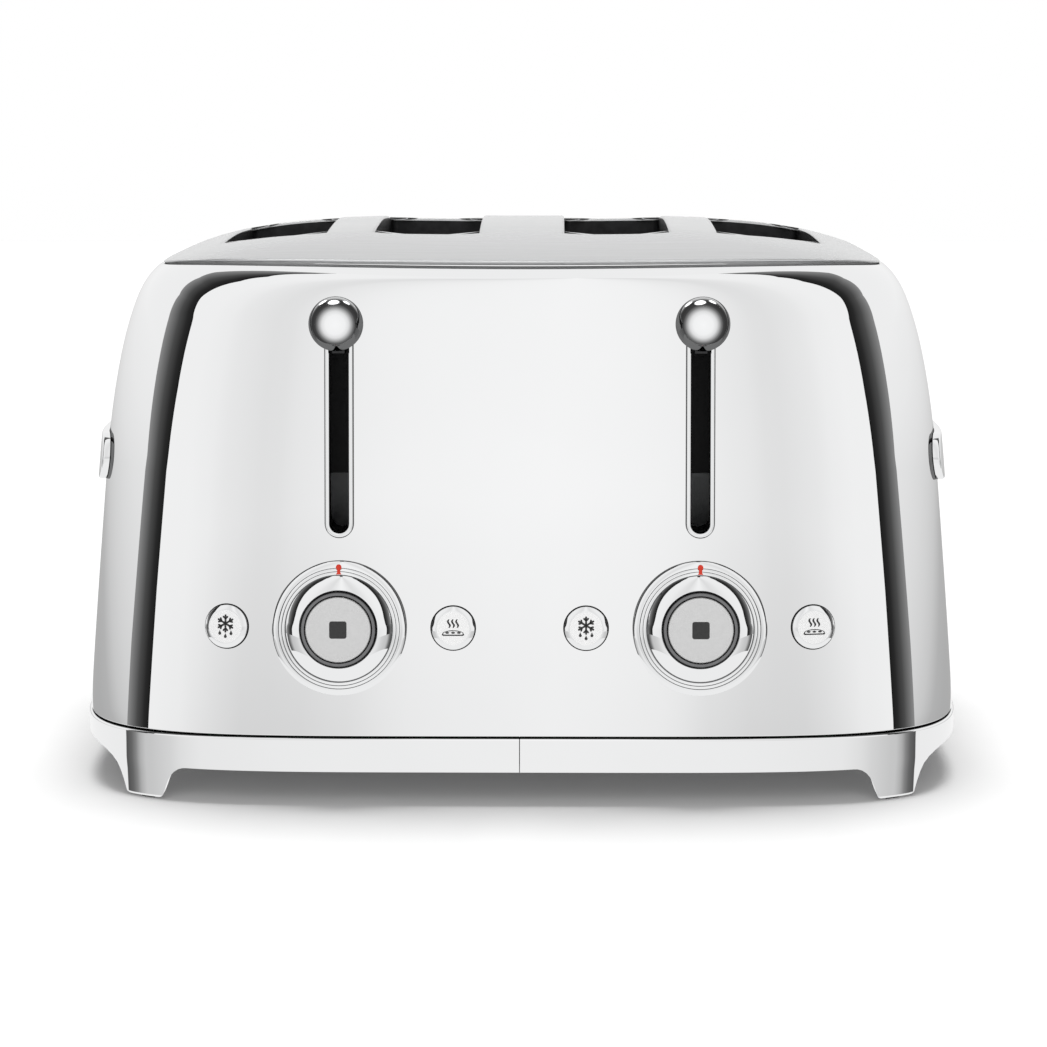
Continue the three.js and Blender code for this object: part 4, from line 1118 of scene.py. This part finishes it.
def make_bezel(name, sign):
    x = sign * MODULE_X
    profile = [
        (2.0, 0.2), (1.97, 0.6), (1.86, 1.0), (1.66, 1.28), (1.4, 1.44), (1.1, 1.5),
        (0.7, 1.5), (0.4, 1.42), (0.2, 1.25), (0.1, 1.0), (0.1, -4.0), (1.0, -4.0), (1.0, 0.2),
    ]
    points, count = [], 0
    for grow, rise in profile:
        outline = stadium(x, grow, LEVER_SLOT_BOTTOM, LEVER_SLOT_TOP, LEVER_SLOT_HALF)
        count = len(outline)
        depth = face_depth(outline[:, 0], outline[:, 1]) + rise
        points.append(np.stack([outline[:, 0], -depth, outline[:, 1]], axis=1))
    bezel = new_object(f"bezel_{name}", np.concatenate(points), tube_faces(len(profile), count, loop=True))
    sharpen(outward(bezel), 40)
    finish(bezel, "root", "trim_chrome", f"lever_bezel_{name}")


def make_ball(name):
    low, high = box_mm(f"lever_ball_{name}")
    radius = (high.z - low.z) / 2
    place = Vector(((low.x + high.x) / 2, low.y + radius - SHIFT_Y, (low.z + high.z) / 2))
    hole, ease, depth = 3.5, 0.1, 4.9
    half_hole = math.asin(hole / radius)
    profile = [(0, radius)]
    for turn in np.linspace(0, math.pi - half_hole, 64)[1:]:
        profile.append((radius * math.sin(turn), radius * math.cos(turn)))
    profile.append((hole - ease, -radius * math.cos(half_hole) + 0.15))
    profile += [(hole - ease, depth - radius), (0, depth - radius)]
    body, node = f"lift_{name}", f"lever_ball_{name}"
    ball = turned_piece(f"ball_{name}", profile, place, Vector((0, -1, 0)), 128, 50, body, "ball_chrome", node)
    ball.visible_glossy = False


for side, direction in SIDES:
    make_bezel(side, direction)
    make_ball(side)


# Side badges

BADGE_PROUD = 2.9


def make_badge(name, sign):
    low, high = box_mm(f"side_badge_{name}")
    half_length, half_height, height = (high.y - low.y) / 2, (high.z - low.z) / 2, (high.z + low.z) / 2
    arc, run = 48, 20
    straight = half_length - half_height
    # Inset from the outline, and rise above the body
    profile = [(0.0, 0.2), (0.0, BADGE_PROUD - 0.9), (0.1, BADGE_PROUD - 0.4), (0.4, BADGE_PROUD - 0.1)]
    profile += [(inset, BADGE_PROUD) for inset in (0.8, 2.4, 8.4)]
    points = []
    for inset, rise in profile:
        radius = half_height - inset
        for end in (1, -1):
            outline = arc_points(end * straight, 0, radius, radius, -90 * end, 180 - 90 * end, arc)
            outline += [(end * straight * (1 - step / run), end * radius) for step in range(1, 2 * run)]
            points += [(sign * (float(side_reach(y, height + z)) + rise), y, height + z) for y, z in outline]
    count = len(points) // len(profile)
    faces = tube_faces(len(profile), count)
    last = (len(profile) - 1) * count
    # Both caps are strips of quads from one long side to the other
    for step in range(arc // 2, (arc + count) // 2):
        face = [step, step + 1, (arc - step - 1) % count, (arc - step) % count]
        face = list(dict.fromkeys(face))
        faces.append(tuple(last + spot for spot in face))
        faces.append(tuple(face[::-1]))
    badge = new_object(f"badge_{name}", points, faces)
    sharpen(outward(badge), 40)
    finish(badge, "root", "trim_chrome", f"side_badge_{name}")


for side, direction in SIDES:
    make_badge(side, direction)


# Return springs

def make_spring(name):
    low, high = box_mm(f"carriage_spring_{name}")
    middle = (low + high) / 2
    wire, turns = 0.55, 15
    radius = (high.x - low.x) / 2 - wire
    start, end = high.z - wire, low.z + wire
    steps, round_steps = turns * 24, 10
    points = []
    for step in range(steps + 1):
        share = step / steps
        angle = share * turns * 2 * math.pi
        out = Vector((math.cos(angle), math.sin(angle), 0))
        centre = Vector((middle.x, middle.y - SHIFT_Y, start + (end - start) * share)) + out * radius
        for turn in range(round_steps):
            tilt = turn / round_steps * 2 * math.pi
            points.append(tuple(centre + out * wire * math.cos(tilt) + Vector((0, 0, wire * math.sin(tilt)))))
    faces = tube_faces(steps + 1, round_steps, capped=True)
    spring = new_object(f"spring_{name}", points, faces)
    outward(spring)
    spring.data.materials.append(materials["bright_wire"])
    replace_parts(spring, f"carriage_spring_{name}")
    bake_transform(spring)


for side, _ in SIDES:
    make_spring(side)


# Cord gland

def make_gland():
    profile = [
        (3.6, -8), (6.7, -8), (6.7, 0.5), (8.7, 0.5), (9, 0.8), (9, 1.6), (8.7, 2.1), (8.2, 2.4), (7.4, 2.5),
        (5.2, 2.5), (4.4, 2.4), (3.9, 2.1), (3.6, 1.6), (3.6, -8),
    ]
    turned_piece("gland", profile, *gland_axis(), 64, 32, "root", "rubber", "cord_gland")


make_gland()


# Tray doors: the smooth skin over each crumb tray's door

def door_spots(low, high, count):
    """Places from one edge of a door to the other, and how far the skin sinks at each."""
    edge, edge_sinks = 0.25, [1.4, 0.35, 0.1]
    places = [low, low, low + 0.08, *np.linspace(low + edge, high - edge, count), high - 0.08, high, high]
    return list(zip(places, edge_sinks + [0] * count + edge_sinks[::-1]))


def make_tray_skin(name, sign):
    centre, proud = sign * MODULE_X, 0.12
    across = door_spots(-TRAY_HALF_WIDTH, TRAY_HALF_WIDTH, 60)
    upward = door_spots(*TRAY_DOOR, 14)
    points, faces = [], []
    for z, sink_z in upward:
        for x, sink_x in across:
            depth = float(face_depth(centre + x, z)) + proud - max(sink_x, sink_z)
            points.append((centre + x, depth, z))
    width = len(across)
    for row in range(len(upward) - 1):
        for column in range(width - 1):
            here = row * width + column
            faces.append((here, here + width, here + width + 1, here + 1))
    skin = new_object(f"tray_{name}_door", points, faces)
    sharpen(skin, 40)
    finish(skin, f"tray_{name}", "polished_steel")


for side, direction in SIDES:
    make_tray_skin(side, direction)


# CAD nodes that stay get a finer material and softened edges

SOFT_EDGE = 0.25
SOFT_ANGLE = 40

kept = {item["node"]: item["material_slot"] for item in frame["record"]["subparts"]}
replaced = {name for obj in bpy.data.objects for name in obj.get("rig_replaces", [])}
for node, slot in kept.items():
    if node in replaced:
        continue
    obj = nodes[node]
    obj.data.materials.clear()
    obj.data.materials.append(materials[slot])
    bevel = obj.modifiers.new("soft edges", "BEVEL")
    bevel.width = SOFT_EDGE * MM
    bevel.segments = 2
    bevel.limit_method = "ANGLE"
    bevel.angle_limit = math.radians(SOFT_ANGLE)


# Floor, light and camera

# White that the camera adds to the floor, so that it is white away from the shadow
FLOOR_LIFT = 0.10
FLOOR_HALF = 4
# What the polished metal sees under the object: a dark sheet of painted shadow in place of the floor's shade
# there
SHADE_HALF = (0.124, 0.108)
SHADE_HEIGHT = 0.0004


def flat_sheet(name, half_x, half_y, height, material):
    mesh = bpy.data.meshes.new(name)
    corners = [(sx * half_x, sy * half_y, height) for sx, sy in ((-1, -1), (1, -1), (1, 1), (-1, 1))]
    mesh.from_pydata(corners, [], [(0, 1, 2, 3)])
    mesh.materials.append(material)
    return add_object(name, mesh)


def make_floor():
    material, tree, shader = node_material("pale floor")
    colour = tint(tree, noise_node(tree, 60), (0.93, 0.93, 0.93), (0.95, 0.95, 0.95))
    path = tree.nodes.new("ShaderNodeLightPath")
    lift = tree.nodes.new("ShaderNodeMath")
    lift.operation = "MULTIPLY"
    lift.inputs[1].default_value = FLOOR_LIFT
    tree.links.new(path.outputs["Is Camera Ray"], lift.inputs[0])
    tree.links.new(colour, shader.inputs["Base Color"])
    tree.links.new(lift.outputs["Value"], shader.inputs["Emission Strength"])
    shader.inputs["Emission Color"].default_value = (1, 1, 1, 1)
    shader.inputs["Roughness"].default_value = 0.9
    shader.inputs["Specular IOR Level"].default_value = 0.1
    floor = flat_sheet("floor", FLOOR_HALF, FLOOR_HALF, 0, material)
    floor.visible_glossy = False


def make_under_shade():
    # A dark sheet seen only in reflections: painted shadow under the object
    material = surface("shaded floor", (0.10, 0.10, 0.10), (0.13, 0.13, 0.13), (0.9, 0.95), 60)
    shade = flat_sheet("under_shade", *SHADE_HALF, SHADE_HEIGHT, material)
    shade.visible_camera = False
    shade.visible_diffuse = False
    shade.visible_shadow = False


# The studio that the mirror finish shows, in degrees from straight ahead and above the horizon.
# Each pair is an angle and a grey, or an angle and another angle.
FRONT_HIGH = (
    (0, 1.015), (3, 0.99), (5, 0.965), (8, 0.92), (11.5, 0.885), (14.4, 0.84), (18, 0.832), (24, 0.866),
    (29, 0.89), (35, 0.935), (46, 0.965), (62, 0.97), (90, 0.97), (130, 0.97), (180, 0.97),
)
FRONT_LOW = (
    (0, 0.96), (3, 0.91), (5.4, 0.80), (10, 0.735), (14.4, 0.73), (21, 0.73), (30.6, 0.81), (45, 0.92),
    (63, 0.96), (180, 0.96),
)
HORIZON = ((-2.6, 1), (1.6, 0))
FLAG_INNER = (
    (-20, 67.5), (-3, 67.8), (0, 66.5), (3, 63.6), (7, 62), (12, 61.5), (38, 69.6), (52, 72), (66, 75),
    (75.5, 91), (78.6, 125), (82, 150),
)
FLAG_OUTER = (
    (-20, 91.5), (-2.6, 91.5), (0, 89), (2, 86.5), (9, 88.5), (33, 97.7), (51, 118), (56, 133), (63, 139),
    (69, 145), (82, 150),
)
# From the flag's inner edge to its outer one
FLAG_GREY = ((0, 0.013), (0.2, 0.024), (0.5, 0.075), (0.8, 0.19), (1, 0.28))
SIDE_GREY = (
    (-10.4, 0.44), (-8, 0.47), (-6.5, 0.51), (-4.9, 0.66), (-3.5, 0.74), (-2, 0.80), (0, 0.86), (4, 0.93),
    (10, 0.98), (90, 0.98),
)
RING_GREY = (
    (0, 0.95), (18, 0.91), (34, 0.89), (44, 0.81), (50, 0.73), (57, 0.68), (65, 0.63), (70, 0.62), (75.5, 0.47),
    (80, 0.26), (84.8, 0.147), (91.5, 0.09), (92, 0.93), (180, 0.95),
)
FLAG_TOP = 80
RING_BELOW = -9.9
FLOOR_BELOW = -28
FLOOR_GREY = 0.95
# What satin finishes and the balls show, in degrees away from straight ahead
SATIN_GREY = (
    (0, 1.05), (42, 1.0), (58, 0.84), (70, 0.5), (82, 0.2), (94, 0.06), (110, 0.04), (124, 0.05),
    (132, 0.25), (139, 0.56), (150, 0.64), (158, 0.72), (166, 0.86), (180, 0.93),
)
# Overhead lights: direction, cosine of their edge and of their middle, and strength
OVERHEAD = (
    ((-0.116, 0.326, 0.941), 0.962, 0.985, 3.0),
    ((-0.434, 0.682, 0.589), 0.988, 0.995, 2.2),
    ((0.36, 0.574, 0.735), 0.988, 0.995, 2.2),
)
# Reflections of three bounces or more are dimmed
DEEP_BOUNCES = 2.5
DEEP_DIM = 0.2
# What the room gives to surfaces that don't reflect
PLAIN_LIGHT = 0.27


def make_world():
    """A white studio with a dark flag at each side. Only polished metal shows it."""
    world = bpy.data.worlds.new("studio")
    bpy.context.scene.world = world
    world.use_nodes = True
    world.cycles.sampling_method = "NONE"
    tree = world.node_tree
    tree.nodes.clear()
    link = tree.links.new

    def put(socket, value):
        if isinstance(value, (int, float, tuple)):
            socket.default_value = value
        else:
            link(value, socket)

    def maths(operation, *inputs):
        node = tree.nodes.new("ShaderNodeMath")
        node.operation = operation
        for socket, value in zip(node.inputs, inputs):
            put(socket, value)
        return node.outputs["Value"]

    def curve(source, stops):
        """A value that follows the stops in straight runs."""
        low, high = stops[0][0], stops[-1][0]
        node = tree.nodes.new("ShaderNodeValToRGB")
        link(spread(tree, source, low, high), node.inputs["Fac"])
        elements = node.color_ramp.elements
        while len(elements) < len(stops):
            elements.new(1)
        for element, (place, value) in zip(elements, stops):
            element.position = (place - low) / (high - low)
            element.color = (value, value, value, 1)
        return node.outputs["Color"]

    def blend(share, one, other):
        node = tree.nodes.new("ShaderNodeMix")
        node.data_type = "FLOAT"
        put(node.inputs["Factor"], share)
        put(node.inputs["A"], one)
        put(node.inputs["B"], other)
        return node.outputs["Result"]

    def within(value, low, high):
        return maths("MULTIPLY", maths("GREATER_THAN", value, low), maths("LESS_THAN", value, high))

    def background(colour, strength):
        node = tree.nodes.new("ShaderNodeBackground")
        put(node.inputs["Color"], colour)
        put(node.inputs["Strength"], strength)
        return node.outputs["Background"]

    def mixed(share, one, other):
        node = tree.nodes.new("ShaderNodeMixShader")
        for socket, value in zip(node.inputs, (share, one, other)):
            link(value, socket)
        return node.outputs["Shader"]

    place = tree.nodes.new("ShaderNodeTexCoord")
    split = tree.nodes.new("ShaderNodeSeparateXYZ")
    link(place.outputs["Generated"], split.inputs["Vector"])
    x, y, z = split.outputs
    ahead = maths("MULTIPLY", y, -1)
    degrees = 180 / math.pi
    azimuth = maths("MULTIPLY", maths("ABSOLUTE", maths("ARCTAN2", x, ahead)), degrees)
    elevation = maths("MULTIPLY", maths("ARCSINE", z), degrees)
    front = blend(curve(elevation, HORIZON), curve(azimuth, FRONT_HIGH), curve(azimuth, FRONT_LOW))
    inner, outer = curve(elevation, FLAG_INNER), curve(elevation, FLAG_OUTER)
    width = maths("MAXIMUM", maths("SUBTRACT", outer, inner), 0.01)
    across = maths("DIVIDE", maths("SUBTRACT", azimuth, inner), width)
    side = maths("MULTIPLY", front, curve(elevation, SIDE_GREY))
    room = blend(maths("GREATER_THAN", across, 1), front, side)
    flag = maths("MULTIPLY", within(across, 0, 1), maths("LESS_THAN", elevation, FLAG_TOP))
    room = blend(flag, room, curve(across, FLAG_GREY))
    room = blend(maths("LESS_THAN", elevation, RING_BELOW), room, curve(azimuth, RING_GREY))
    room = blend(maths("LESS_THAN", elevation, FLOOR_BELOW), room, FLOOR_GREY)
    away = maths("MULTIPLY", maths("ARCCOSINE", ahead), degrees)
    satin = curve(away, SATIN_GREY)
    for direction, edge, middle, strength in OVERHEAD:
        towards = tree.nodes.new("ShaderNodeVectorMath")
        towards.operation = "DOT_PRODUCT"
        link(place.outputs["Generated"], towards.inputs[0])
        towards.inputs[1].default_value = Vector(direction).normalized()
        lamp = spread(tree, towards.outputs["Value"], edge, middle, 0, strength)
        satin = maths("ADD", satin, lamp)
    path = tree.nodes.new("ShaderNodeLightPath")
    shown = blend(path.outputs["Is Singular Ray"], satin, room)
    deep = maths("GREATER_THAN", path.outputs["Ray Depth"], DEEP_BOUNCES)
    metal = background(shown, blend(deep, 1.0, DEEP_DIM))
    seen = mixed(path.outputs["Is Glossy Ray"], background((1, 1, 1, 1), PLAIN_LIGHT), metal)
    seen = mixed(path.outputs["Is Camera Ray"], seen, background((1, 1, 1, 1), 1.0))
    out = tree.nodes.new("ShaderNodeOutputWorld")
    link(seen, out.inputs["Surface"])


def make_lamp(name, spread_degrees, strength, place):
    """A soft light far away, seen from the object in the direction of a place."""
    light = bpy.data.lights.new(name, "SUN")
    light.angle = math.radians(spread_degrees)
    light.energy = strength
    lamp = add_object(name, light)
    lamp.location = place
    lamp.rotation_euler = (-Vector(place)).to_track_quat("-Z", "Y").to_euler()
    lamp.visible_glossy = False


# The camera of the photograph: its place in millimetres, its tilt and turn, and its focal length in pixels
CAMERA_PLACE = (12.575, -1350, 262.69)
CAMERA_DOWN = 0.13195
CAMERA_TURN = 0.0092793
FOCAL_PIXELS = 3383.3
PHOTO_PIXELS = 1047
SENSOR = 36


def make_camera():
    data = bpy.data.cameras.new("camera")
    data.sensor_width = SENSOR
    data.lens = FOCAL_PIXELS / PHOTO_PIXELS * SENSOR
    camera = add_object("camera", data)
    camera.location = in_frame(CAMERA_PLACE)
    camera.rotation_euler = (math.pi / 2 - CAMERA_DOWN, 0, CAMERA_TURN)
    bpy.context.scene.camera = camera


make_floor()
make_under_shade()
make_world()
make_lamp("soft light above", 34, 2.3, (0, 0.3, 1.7))
make_lamp("soft light in front", 60, 1.2, (0, -2, 0.6))
make_camera()
bpy.context.scene.view_settings.view_transform = "Standard"
